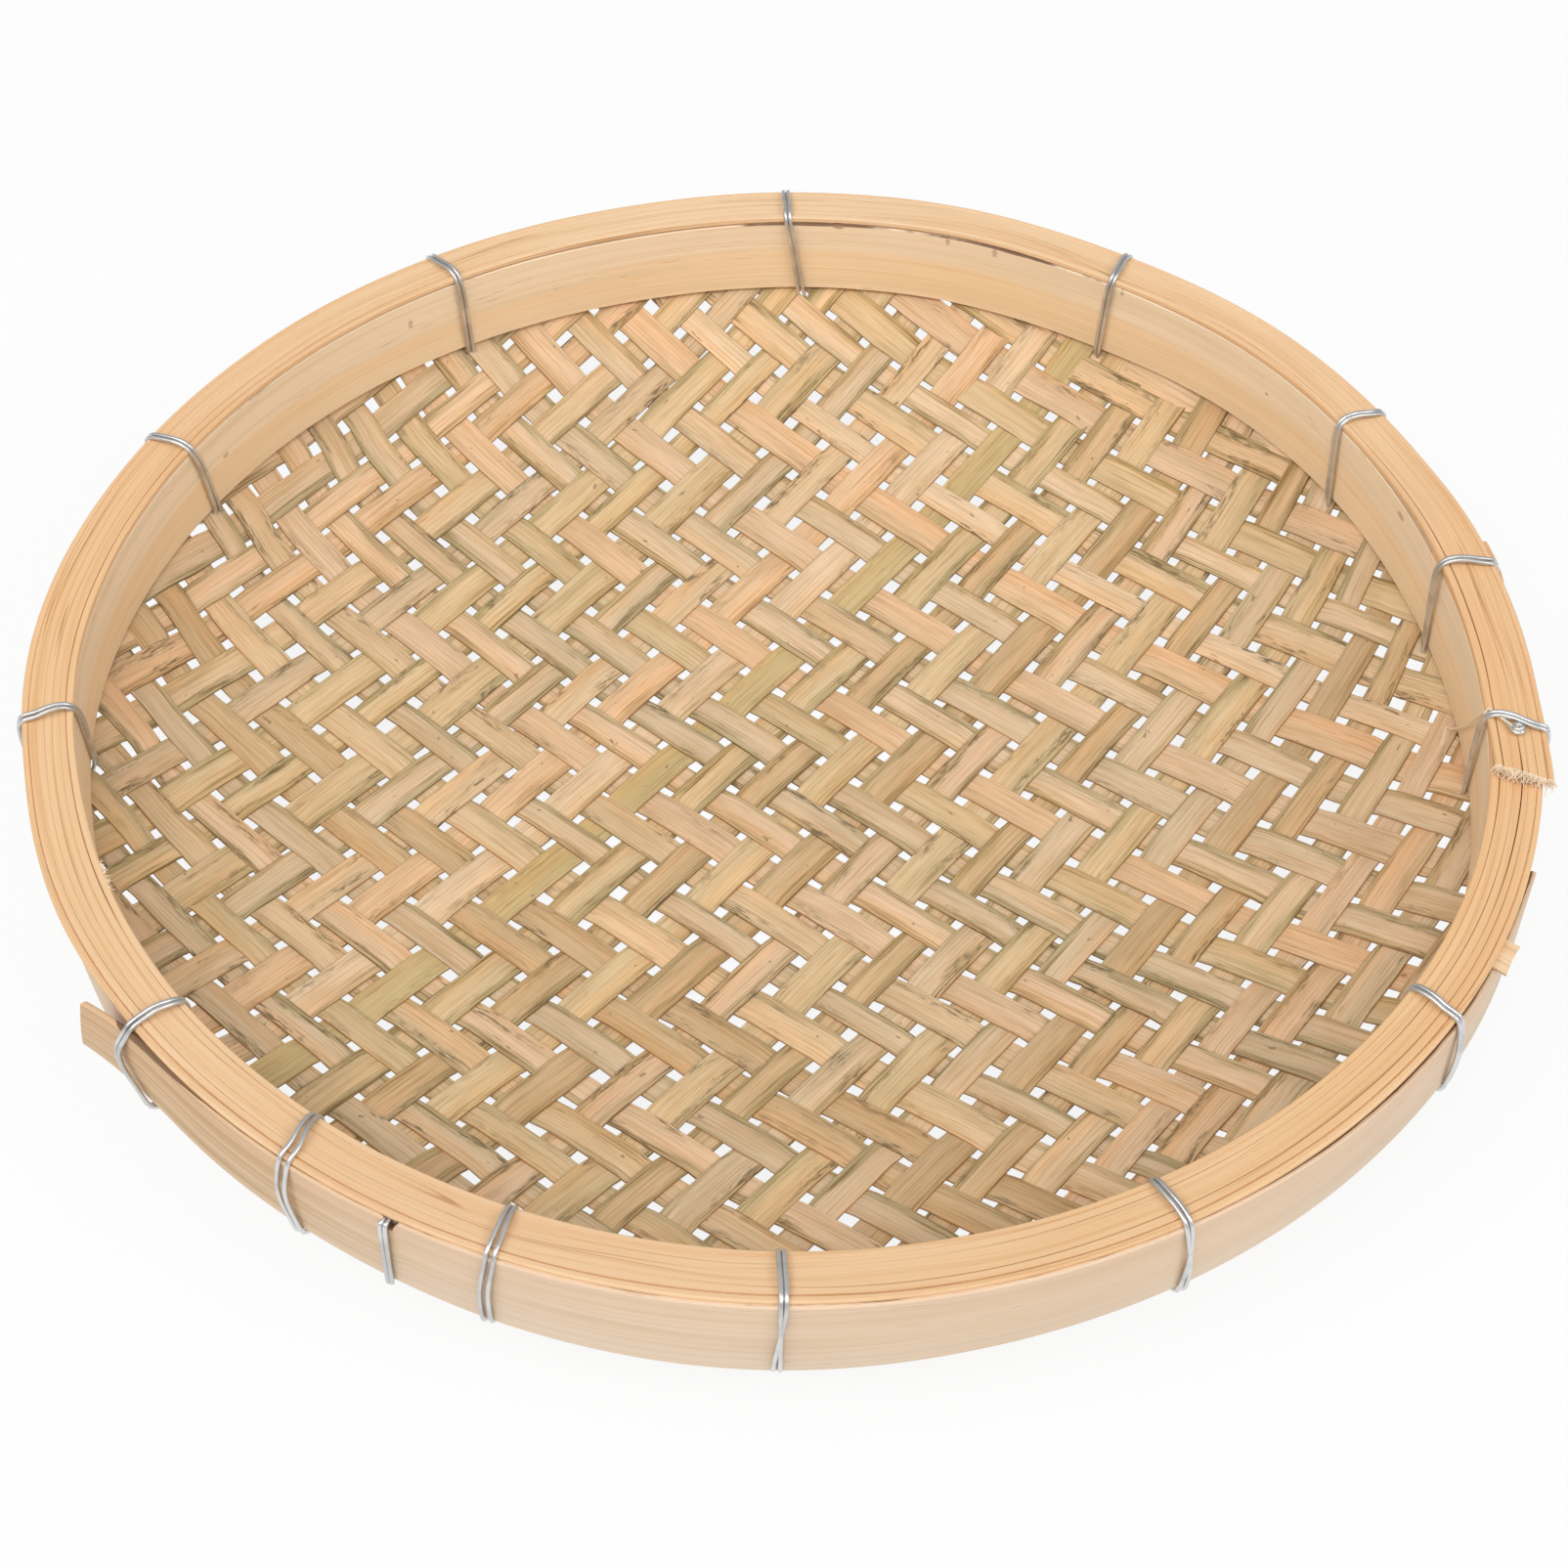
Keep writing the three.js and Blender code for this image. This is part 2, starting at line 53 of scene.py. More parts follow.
toward_camera = Vector((0, -math.cos(CAMERA_RISE), math.sin(CAMERA_RISE)))
level_right = Vector((1, 0, 0))
view_up = level_right.cross(-toward_camera)
view_forward = (
    -toward_camera + math.tan(CAMERA_YAW) * level_right + math.tan(CAMERA_PITCH) * view_up
).normalized()
view_right = view_forward.cross(view_up).normalized()
view_up = view_right.cross(view_forward)
rolled_right = math.cos(CAMERA_ROLL) * view_right + math.sin(CAMERA_ROLL) * view_up
rolled_up = math.cos(CAMERA_ROLL) * view_up - math.sin(CAMERA_ROLL) * view_right
camera_data = bpy.data.cameras.new("camera")
camera_data.sensor_width = SENSOR_WIDTH
camera_data.lens = FOCAL_PIXELS * SENSOR_WIDTH / PHOTO_SIDE
camera_data.clip_start = 0.01
camera = bpy.data.objects.new("camera", camera_data)
camera_turn = Matrix((rolled_right, rolled_up, -view_forward)).transposed().to_4x4()
camera.matrix_world = (
    Matrix.Translation(Vector((0, 0, RIM_BASE)) + CAMERA_DISTANCE * toward_camera) @ camera_turn
)
bpy.context.scene.collection.objects.link(camera)
bpy.context.scene.camera = camera
bpy.context.scene.view_settings.view_transform = "Standard"


# Floor and light. The basket stands on a white table in an even white room, under a broad soft
# lamp in front and one at each side, and the table shows white apart from a faint shadow.
def add_node(tree, kind, inputs=None, **settings):
    """A shader node with its settings, and with values or links for its inputs."""
    node = tree.nodes.new(kind)
    for key, value in settings.items():
        setattr(node, key, value)
    for key, value in (inputs or {}).items():
        if isinstance(value, bpy.types.NodeSocket):
            tree.links.new(value, node.inputs[key])
        else:
            node.inputs[key].default_value = value
    return node


def fresh_material(name):
    """A material with an empty node tree, and that tree."""
    material = bpy.data.materials.new(name)
    material.use_nodes = True
    material.node_tree.nodes.clear()
    return material, material.node_tree


TABLE_SIZE = 6
TABLE_COLOUR = (0.86, 0.86, 0.86, 1)
TABLE_GLOW = 0.88
table_mesh = bmesh.new()
bmesh.ops.create_grid(table_mesh, x_segments=1, y_segments=1, size=TABLE_SIZE / 2)
table_data = bpy.data.meshes.new("table_top")
table_mesh.to_mesh(table_data)
table_mesh.free()
table = bpy.data.objects.new("table_top", table_data)
bpy.context.scene.collection.objects.link(table)
table_material, tree = fresh_material("table_white")
ray = add_node(tree, "ShaderNodeLightPath")
seen = add_node(
    tree, "ShaderNodeMath", {0: ray.outputs["Is Camera Ray"], 1: ray.outputs["Is Glossy Ray"]},
    operation="MAXIMUM",
)
share = add_node(tree, "ShaderNodeMath", {0: seen.outputs[0], 1: TABLE_GLOW}, operation="MULTIPLY")
matt = add_node(tree, "ShaderNodeBsdfDiffuse", {"Color": TABLE_COLOUR})
glow = add_node(tree, "ShaderNodeEmission", {"Color": (1, 1, 1, 1), "Strength": 1.0})
mixed = add_node(
    tree, "ShaderNodeMixShader", {0: share.outputs[0], 1: matt.outputs[0], 2: glow.outputs[0]}
)
add_node(tree, "ShaderNodeOutputMaterial", {"Surface": mixed.outputs[0]})
table_data.materials.append(table_material)

ROOM_LIGHT = 0.446
world = bpy.data.worlds.new("room")
world.use_nodes = True
tree = world.node_tree
tree.nodes.clear()
ray = add_node(tree, "ShaderNodeLightPath")
level = add_node(
    tree, "ShaderNodeMapRange",
    {"Value": ray.outputs["Is Camera Ray"], "To Min": ROOM_LIGHT, "To Max": 1.0},
)
room = add_node(tree, "ShaderNodeBackground", {"Color": (1, 1, 1, 1), "Strength": level.outputs[0]})
add_node(tree, "ShaderNodeOutputWorld", {"Surface": room.outputs[0]})
bpy.context.scene.world = world


def soft_lamp(name, place, size, power):
    """A square area lamp that looks at the middle of the basket."""
    data = bpy.data.lights.new(name, "AREA")
    data.size = size
    data.energy = power
    lamp = bpy.data.objects.new(name, data)
    aim = -Vector(place).normalized()
    turn = aim.to_track_quat("-Z", "Y").to_matrix().to_4x4()
    lamp.matrix_world = Matrix.Translation(place) @ turn
    bpy.context.scene.collection.objects.link(lamp)


soft_lamp("front_lamp", (-0.2, -1.35, 2.05), 1.2, 20.5)
soft_lamp("left_lamp", (-1.4, -0.8, 1.75), 1.1, 15.6)
soft_lamp("right_lamp", (1.6, -0.9, 1.5), 1.1, 15)


# Split bamboo. Every bamboo piece is a length of culm split flat, so each is made straight,
# with its UV map in metres along and across the grain, and is then bent to its place.
SHARP_ANGLE = math.radians(38)
FIBRE_RELIEF = 0.0002


def split_bamboo(length, width, thickness, steps, across=1, rounding=0.0):
    """A straight closed length of split bamboo, from 0 along X, with its middle on the axis."""
    bm = bmesh.new()
    bmesh.ops.create_grid(bm, x_segments=steps, y_segments=across, size=0.5)
    raised = bmesh.ops.extrude_face_region(bm, geom=bm.faces[:])
    upper = [v for v in raised["geom"] if isinstance(v, bmesh.types.BMVert)]
    bmesh.ops.translate(bm, verts=upper, vec=(0, 0, 1))
    bmesh.ops.translate(bm, verts=bm.verts, vec=(0.5, 0, -0.5))
    bmesh.ops.scale(bm, verts=bm.verts, vec=(length, width, thickness))
    if rounding:
        corners = [
            edge for edge in bm.edges
            if all(abs(abs(v.co.y) - width / 2) < 1e-7 for v in edge.verts)
            and abs(edge.verts[0].co.z - edge.verts[1].co.z) < 1e-7
        ]
        bmesh.ops.bevel(
            bm, geom=corners, offset=rounding, offset_type="OFFSET", segments=1,
            profile=0.5, affect="EDGES", material=-1,
        )
    bmesh.ops.recalc_face_normals(bm, faces=bm.faces)
    layer = bm.loops.layers.uv.new("UVMap")
    for face in bm.faces:
        for loop in face.loops:
            loop[layer].uv = (loop.vert.co.x, loop.vert.co.y + loop.vert.co.z)
    return bm


def bend(bm, place):
    """Moves each corner of a straight piece to where place puts it."""
    for vert in bm.verts:
        vert.co = place(*vert.co)
    bmesh.ops.recalc_face_normals(bm, faces=bm.faces)


def waver(seed, *where):
    """A smooth irregularity between about -1 and 1, the same at each run."""
    spot = Vector((*where, 0, 0)[:3])
    return noise.noise(spot + Vector((seed * 7.31, seed * 3.17, seed * 1.93)))


def finish_piece(name, bm, material, slot, *nodes):
    """Makes a bmesh a piece of the basket, in place of CAD nodes."""
    mesh = bpy.data.meshes.new(name)
    bm.to_mesh(mesh)
    bm.free()
    mesh.polygons.foreach_set("use_smooth", [True] * len(mesh.polygons))
    mesh.set_sharp_from_angle(angle=SHARP_ANGLE)
    mesh.materials.append(material)
    piece = bpy.data.objects.new(name, mesh)
    bpy.context.scene.collection.objects.link(piece)
    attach(piece, "root")
    if nodes:
        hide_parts(*nodes)
    return piece


def bamboo_material(name):
    """A new material, its node tree, and the piece's map along and across the grain."""
    material, tree = fresh_material(name)
    return material, tree, add_node(tree, "ShaderNodeUVMap", uv_map="UVMap").outputs[0]


def stored(tree, name, output="Fac"):
    """What is stored under a name on the piece's own mesh."""
    return add_node(tree, "ShaderNodeAttribute", attribute_name=name).outputs[output]


def grain(tree, coordinates, along, across, detail=2.0, depth=0.0):
    """Noise drawn out along the grain: features per metre along it and across it."""
    stretched = add_node(
        tree, "ShaderNodeMapping",
        {"Vector": coordinates, "Scale": (along, across, 1), "Location": (depth, depth, depth)},
    )
    speckle = add_node(
        tree, "ShaderNodeTexNoise",
        {"Vector": stretched.outputs[0], "Scale": 1.0, "Detail": detail, "Roughness": 0.6},
    )
    return speckle.outputs[0]


def between(tree, value, low, high, top=1.0):
    """0 below low and top above high, with a soft rise."""
    ramp = add_node(
        tree, "ShaderNodeMapRange",
        {"Value": value, "From Min": low, "From Max": high, "To Max": top},
        interpolation_type="SMOOTHSTEP",
    )
    return ramp.outputs[0]


def times(tree, first, second, operation="MULTIPLY"):
    """Two numbers multiplied, or joined by another operation."""
    return add_node(tree, "ShaderNodeMath", {0: first, 1: second}, operation=operation).outputs[0]


def about_zero(tree, speckle):
    """Noise moved down, so that it runs as far below zero as above it."""
    return times(tree, speckle, 0.5, "SUBTRACT")


def tint(tree, share, under, over, mode="MIX"):
    """One colour laid over another by a share."""
    mixing = add_node(
        tree, "ShaderNodeMix", {0: share, 6: under, 7: over}, data_type="RGBA", blend_type=mode
    )
    return mixing.outputs[2]


def bamboo_surface(tree, colour, fibres, roughness, relief):
    """The shader of dry bamboo, with its fibres as relief."""
    bump = add_node(
        tree, "ShaderNodeBump", {"Height": fibres, "Strength": relief, "Distance": FIBRE_RELIEF}
    )
    shader = add_node(
        tree, "ShaderNodeBsdfPrincipled",
        {"Base Color": colour, "Roughness": roughness, "Normal": bump.outputs[0]},
    )
    add_node(tree, "ShaderNodeOutputMaterial", {"Surface": shader.outputs[0]})


# Mat. Two sets of flat splints, each about 7 mm wide, cross under and over two at a time in a
# twill. They were split by eye, so no two are alike in width or run quite straight. The mat is
# dished, and its edge is turned up and held between the hoops, which are a little out of round.
STRAIGHT_ANGLE, WOVEN_ANGLE = math.radians(-38.5), math.radians(52.5)
STRAIGHT_PITCH, WOVEN_PITCH = 0.00956, 0.00942
STRAIGHT_OFFSET, WOVEN_OFFSET = -0.00147, -0.00213
# Each splint: how far it lies off an even spacing, its width, its lean over 100 mm and its bow,
# all in mm.
STRAIGHT_SPLINTS = [
    (2.5, 7.3, 0.0, 0.0), (3.1, 6.9, -0.2, 0.0), (2.2, 6.7, 0.1, 0.1), (0.9, 6.6, 0.7, 0.1),
    (0.6, 7.6, 0.8, -0.1), (0.2, 7.3, 1.3, 0.1), (0.5, 7.2, 1.8, 0.0), (0.4, 7.6, 1.4, 0.0),
    (-0.1, 7.6, 0.9, 0.7), (0.8, 8.1, 1.1, 0.2), (1.7, 6.4, 0.1, 0.1), (1.8, 7.2, 0.2, -0.6),
    (0.7, 7.4, 0.5, -0.2), (0.3, 7.2, 0.3, 0.1), (-0.1, 7.0, -0.1, 0.1), (-0.8, 7.3, -0.3, 0.2),
    (-0.5, 7.3, -0.6, 0.3), (-0.5, 7.2, -0.3, 0.0), (-0.4, 7.8, -0.3, 0.0), (-0.5, 7.6, 0.1, -0.3),
    (-0.1, 7.7, -0.2, -0.1), (1.4, 7.1, -0.9, -0.1), (2.0, 8.1, -0.9, -0.3), (2.1, 6.2, -1.2, -0.3),
    (2.6, 8.1, -1.2, -0.4), (2.2, 6.4, -0.5, 0.1), (1.4, 7.8, -0.4, 0.0), (1.5, 7.7, -0.6, 0.0),
    (1.0, 7.1, 0.1, 0.0), (-2.2, 7.2, -0.3, -0.2),
]
WOVEN_SPLINTS = [
    (1.3, 7.2, 0.0, 0.0),
    (2.2, 7.2, -0.1, 0.0), (1.2, 6.6, 0.3, 0.0), (0.1, 6.9, 0.8, 0.2), (0.4, 7.1, 1.6, 0.1),
    (0.5, 6.4, 0.8, 0.6), (-0.8, 7.2, -0.2, 0.9), (-1.4, 6.2, -0.5, 1.2), (-0.9, 8.1, -0.8, 1.3),
    (-1.1, 6.9, 0.1, 1.2), (-1.7, 6.6, 0.4, 1.3), (-2.0, 7.4, 0.7, 1.7), (-2.2, 7.5, 0.8, 1.5),
    (-2.3, 7.3, 1.1, 1.5), (-1.5, 7.7, 1.0, 1.7), (-1.2, 7.1, 0.8, 0.9), (-1.5, 7.3, 0.9, 0.7),
    (-1.2, 8.1, 1.2, 0.3), (-0.2, 7.2, -0.2, 0.3), (0.5, 7.8, -0.5, 0.4), (0.6, 6.6, -0.3, 0.0),
    (0.4, 7.5, -0.8, 0.0), (1.0, 7.5, -1.1, -0.1), (0.4, 6.6, -1.3, 0.0), (0.6, 7.2, -1.8, -0.2),
    (0.2, 6.3, -1.3, -0.3), (0.6, 7.2, -0.5, -0.5), (-0.3, 6.4, -0.6, -0.1),
    (-1.5, 7.3, -0.3, -0.1), (-2.0, 7.2, 0.0, 0.0), (-2.0, 7.2, 0.0, 0.0),
]
STRAIGHT_MIDDLE, WOVEN_MIDDLE = 14, 15
# The outermost splints, half hidden under the hoop.
OUTERMOST_STRAIGHT, OUTERMOST_WOVEN = (29,), (0, 30)
SPLINT_THICKNESS, SPLINT_ROUNDING, SPLINT_STEP = 0.0005, 0.00008, 0.0013
# How high a splint rises at a crossing, how much higher between two that it passes over, and
# between which shares of the way it changes sides.
CRIMP, CRIMP_CREST, CHANGE_FROM, CHANGE_OVER = 0.00027, 0.15, 0.28, 0.44
# How unevenly it was split: its run to the side, its width, its twist, and its rounded face.
SPLINT_STRAY, SPLINT_SWELL, SPLINT_TWIST, SPLINT_CROWN = 0.0003, 0.07, 0.035, 0.00004
MAT_LOW = 0.00075
DISH_DEPTH, DISH_FLAT, DISH_POWER = 0.0203, 0.028, 1.9
DISH_EDGE = 0.142
TURN_START, COLLAR_RADIUS, COLLAR_HEIGHT = 0.1414, 0.1428, 0.013
# Where it is drawn up to the rim the mat has slid and skewed. In mm to the right and back, for
# each of: all round, cosine and sine of the angle, and cosine and sine of twice the angle.
SLIDE_START, SLIDE_OVER, SLIDE_MOST = 0.100, 0.040, 1.05
SLIDE_RIGHT = (0.51, -2.16, 0.01, -0.32, -1.63)
SLIDE_BACK = (1.60, -0.62, 0.88, 1.82, -0.49)
# At the left the last of it has slid in further: where, and how far to the right and back.
LEFT_SLIDE_ANGLE, LEFT_SLIDE_START, LEFT_SLIDE_OVER = math.radians(165), 0.125, 0.013
LEFT_SLIDE_RIGHT, LEFT_SLIDE_BACK = 0.0012, 0.0010
LEFT_SLIDE_EDGE, LEFT_SLIDE_FADE = 0.75, 0.2
SLIDE_ROOM, COLLAR_TOP = 0.005, 0.0400
# How far the rim stands off a true circle, every 15 degrees round from the right, in mm.
RIM_SWAY = [
    -1.1, -1.5, -0.1, 1.0, 0.7, 1.85, 1.2, -0.2, -0.4, -0.1, 0.2, 0.8,
    1.2, 0.1, -0.2, -0.6, -0.9, -0.7, -0.3, -0.2, 0.2, 0.6, 1.1, 0.5,
]
SWAY_START, SWAY_FULL = 0.125, 0.140

straight_way = Vector((math.cos(STRAIGHT_ANGLE), math.sin(STRAIGHT_ANGLE)))
woven_way = Vector((math.cos(WOVEN_ANGLE), math.sin(WOVEN_ANGLE)))
skew = straight_way.dot(woven_way)


def ease(share):
    """A soft rise from 0 to 1."""
    share = max(0.0, min(1.0, share))
    return share * share * (3 - 2 * share)


def between_marks(marks, place):
    """The value on a smooth closed line through evenly spaced marks, at a place counted in them."""
    index = math.floor(place)
    share = place - index
    before, here, there, after = (marks[(index + step) % len(marks)] for step in (-1, 0, 1, 2))
    return 0.5 * (
        2 * here + (there - before) * share
        + (2 * before - 5 * here + 4 * there - after) * share**2
        + (3 * here - before - 3 * there + after) * share**3
    )


def rim_sway(angle):
    """How far the rim stands off a true circle at an angle."""
    return between_marks(RIM_SWAY, math.degrees(angle) * len(RIM_SWAY) / 360) / 1000


def mat_height(radius):
    """How high the middle of the mat lies at a radius."""
    share = max(0.0, (radius - DISH_FLAT) / (DISH_EDGE - DISH_FLAT))
    return MAT_LOW + DISH_DEPTH * share**DISH_POWER


def mat_slope(radius):
    """How steeply the mat rises there."""
    share = max(0.0, (radius - DISH_FLAT) / (DISH_EDGE - DISH_FLAT))
    return math.atan(DISH_DEPTH * DISH_POWER * share ** (DISH_POWER - 1) / (DISH_EDGE - DISH_FLAT))


turn_slope = mat_slope(TURN_START)
turn_bend = (COLLAR_RADIUS - TURN_START) / (1 - math.sin(turn_slope))
turn_length = turn_bend * (math.pi / 2 - turn_slope)
splint_reach = TURN_START + turn_length + COLLAR_HEIGHT + SLIDE_ROOM


def slide(x, y):
    """Where a flat point lies once the mat's edge has slid."""
    radius = math.hypot(x, y)
    share = min(SLIDE_MOST, max(0.0, (radius - SLIDE_START) / SLIDE_OVER)) ** 2 / 1000
    angle = math.atan2(y, x)
    waves = (1, math.cos(angle), math.sin(angle), math.cos(2 * angle), math.sin(2 * angle))
    left = ease((radius - LEFT_SLIDE_START) / LEFT_SLIDE_OVER)
    left *= ease((math.cos(angle - LEFT_SLIDE_ANGLE) - LEFT_SLIDE_EDGE) / LEFT_SLIDE_FADE)
    right_by, back_by = (
        share * sum(part * wave for part, wave in zip(parts, waves))
        for parts in (SLIDE_RIGHT, SLIDE_BACK)
    )
    return x + right_by + LEFT_SLIDE_RIGHT * left, y + back_by + LEFT_SLIDE_BACK * left


def on_mat(x, y, lift):
    """The place over a flat point once the mat is dished and its edge turned up."""
    x, y = slide(x, y)
    radius = math.hypot(x, y)
    beyond = max(0.0, radius - TURN_START)
    slope = min(turn_slope + beyond / turn_bend, math.pi / 2) if beyond else mat_slope(radius)
    out, up = radius, mat_height(radius)
    if beyond:
        out = TURN_START + turn_bend * (math.sin(slope) - math.sin(turn_slope))
        up = mat_height(TURN_START) + turn_bend * (math.cos(turn_slope) - math.cos(slope))
        up = min(COLLAR_TOP, up + max(0.0, beyond - turn_length))
    out -= lift * math.sin(slope)
    up += lift * math.cos(slope)
    swayed = ease((radius - SWAY_START) / (SWAY_FULL - SWAY_START))
    if swayed:
        out += swayed * rim_sway(math.atan2(y, x))
    return Vector((x / radius * out, y / radius * out, up))


def middles(offset, pitch, splints, middle):
    """Where the middle of each splint of a set lies, across the set."""
    return [
        offset + pitch * (index - middle) + splint[0] / 1000
        for index, splint in enumerate(splints)
    ]


straight_middles = middles(STRAIGHT_OFFSET, STRAIGHT_PITCH, STRAIGHT_SPLINTS, STRAIGHT_MIDDLE)
woven_middles = middles(WOVEN_OFFSET, WOVEN_PITCH, WOVEN_SPLINTS, WOVEN_MIDDLE)


def straight_on_top(straight, woven):
    """True where that straight splint passes over that woven one."""
    return (woven - straight - 2) % 4 < 2


def crimp_at(along, crossings):
    """How high a splint runs over the mat's middle, from the crossings (place, 1 or -1)."""
    for (here, side), (there, other) in zip(crossings, crossings[1:]):
        if along <= there:
            break
    share = min(1.0, max(0.0, (along - here) / (there - here)))
    if side == other:
        return side * (1 + CRIMP_CREST * math.sin(math.pi * share))
    return side + (other - side) * ease((share - CHANGE_FROM) / CHANGE_OVER)


def streaks(tree, colour, pattern, low, high, share, shade):
    """Darker streaks of a shade where a pattern runs from low to high."""
    return tint(tree, between(tree, pattern, low, high, share), colour, (*shade, 1), "MULTIPLY")


def splint_material(name):
    """Flat splints: peach or tan inside wood, ragged grey-olive edges and scraps of dark skin."""
    material, tree, uv = bamboo_material(name)
    edges = stored(tree, "edges", "Color")
    left, right, flecks = add_node(tree, "ShaderNodeSeparateColor", {0: edges}).outputs
    across = stored(tree, "across")
    fine = grain(tree, uv, 60, 3000, 3)
    coarse = grain(tree, uv, 34, 1500, 3, 3.0)
    broad = grain(tree, uv, 16, 480, 2, 5.0)
    cloud = grain(tree, uv, 40, 160, 3, 7.0)
    tone = stored(tree, "tone", "Color")
    colour = streaks(tree, tone, cloud, 0.38, 0.66, 0.8, (0.87, 0.85, 0.80))
    warmer = times(tree, about_zero(tree, grain(tree, uv, 13, 150, 2, 9.0)), 4.0)
    warmer = times(tree, times(tree, across, stored(tree, "warm")), warmer, "ADD")
    warmer = between(tree, warmer, -0.3, 0.9, 0.75)
    colour = tint(tree, warmer, colour, (1.08, 0.96, 0.84, 1), "MULTIPLY")
    colour = streaks(tree, colour, broad, 0.42, 0.7, 0.55, (0.87, 0.88, 0.85))
    colour = streaks(tree, colour, coarse, 0.48, 0.66, 0.7, (0.84, 0.79, 0.70))
    ragged = times(tree, about_zero(tree, coarse), 0.55)
    skin = between(tree, grain(tree, uv, 55, 260, 3, 13.0), 0.505, 0.605)
    dots = between(tree, grain(tree, uv, 320, 1900, 5, 11.0), 0.44, 0.58)
    for side, amount, depth in ((-1, left, 20.0), (1, right, 25.0)):
        edge = times(tree, across, side)
        creep = times(tree, about_zero(tree, grain(tree, uv, 30, 60, 2, depth)), 1.5)
        reach = times(tree, edge, times(tree, ragged, creep, "ADD"), "ADD")
        band = times(tree, between(tree, reach, 0.45, 0.78), amount)
        colour = tint(tree, band, colour, (0.76, 0.79, 0.68, 1), "MULTIPLY")
        frayed = times(tree, band, between(tree, fine, 0.46, 0.6))
        colour = tint(tree, times(tree, frayed, 0.85), colour, (0.52, 0.47, 0.38, 1), "MULTIPLY")
        scraps = times(tree, times(tree, skin, dots), between(tree, reach, 0.2, 0.75))
        scraps = times(tree, scraps, flecks)
        colour = tint(tree, times(tree, scraps, 0.9), colour, (0.17, 0.115, 0.055, 1))
    colour = streaks(tree, colour, fine, 0.48, 0.66, 0.8, (0.76, 0.68, 0.57))
    # Painted shade: a thin dark line along both long edges of each splint, where it meets and
    # passes under its neighbours.
    rim = times(tree, across, across)
    colour = streaks(tree, colour, rim, 0.92, 0.99, 0.7, (0.50, 0.38, 0.26))
    spots = between(tree, grain(tree, uv, 260, 420, 2, 17.0), 0.70, 0.75, 0.7)
    colour = tint(tree, spots, colour, (0.24, 0.15, 0.07, 1))
    bamboo_surface(tree, colour, fine, 0.62, 0.3)
    return material


SPLINT_TONES = {
    "peach": (0.82, 0.575, 0.37),
    "tan": (0.78, 0.56, 0.34),
    "grey": (0.74, 0.55, 0.355),
    "orange": (0.83, 0.555, 0.335),
    "pale": (0.83, 0.61, 0.40),
    "straw": (0.76, 0.56, 0.325),
    "olive": (0.63, 0.475, 0.235),
    "brown": (0.68, 0.47, 0.265),
}
TONE_ODDS = {"peach": 7, "tan": 7, "grey": 5, "orange": 3, "pale": 3, "straw": 5, "brown": 2}
WOVEN_TONES = {13: "olive", 15: "brown"}
EDGE_STRENGTHS = (0.1, 0.5, 0.8, 1.0)
SKIN_STRENGTHS = (0.0, 0.5, 0.9, 1.0)
OLIVE_EDGES, OLIVE_SKIN = (0.0, 0.1), 0.3
WARM_SIDES = (-0.9, -0.5, 0.5, 0.9)
DARKEST, LIGHTEST = 0.94, 1.04
# Each splint shows its own piece of this many metres of grain.
GRAIN_RUN = 40


def write_tones(piece, tone, edges, warm):
    """Stores a splint's colour, how strong its grey edges and its skin are, and its warm side."""
    for layer, colour in (("tone", tone), ("edges", edges), ("warm", (warm, warm, warm))):
        data = piece.data.color_attributes.new(layer, "FLOAT_COLOR", "POINT").data
        data.foreach_set("color", [*colour, 1.0] * len(data))


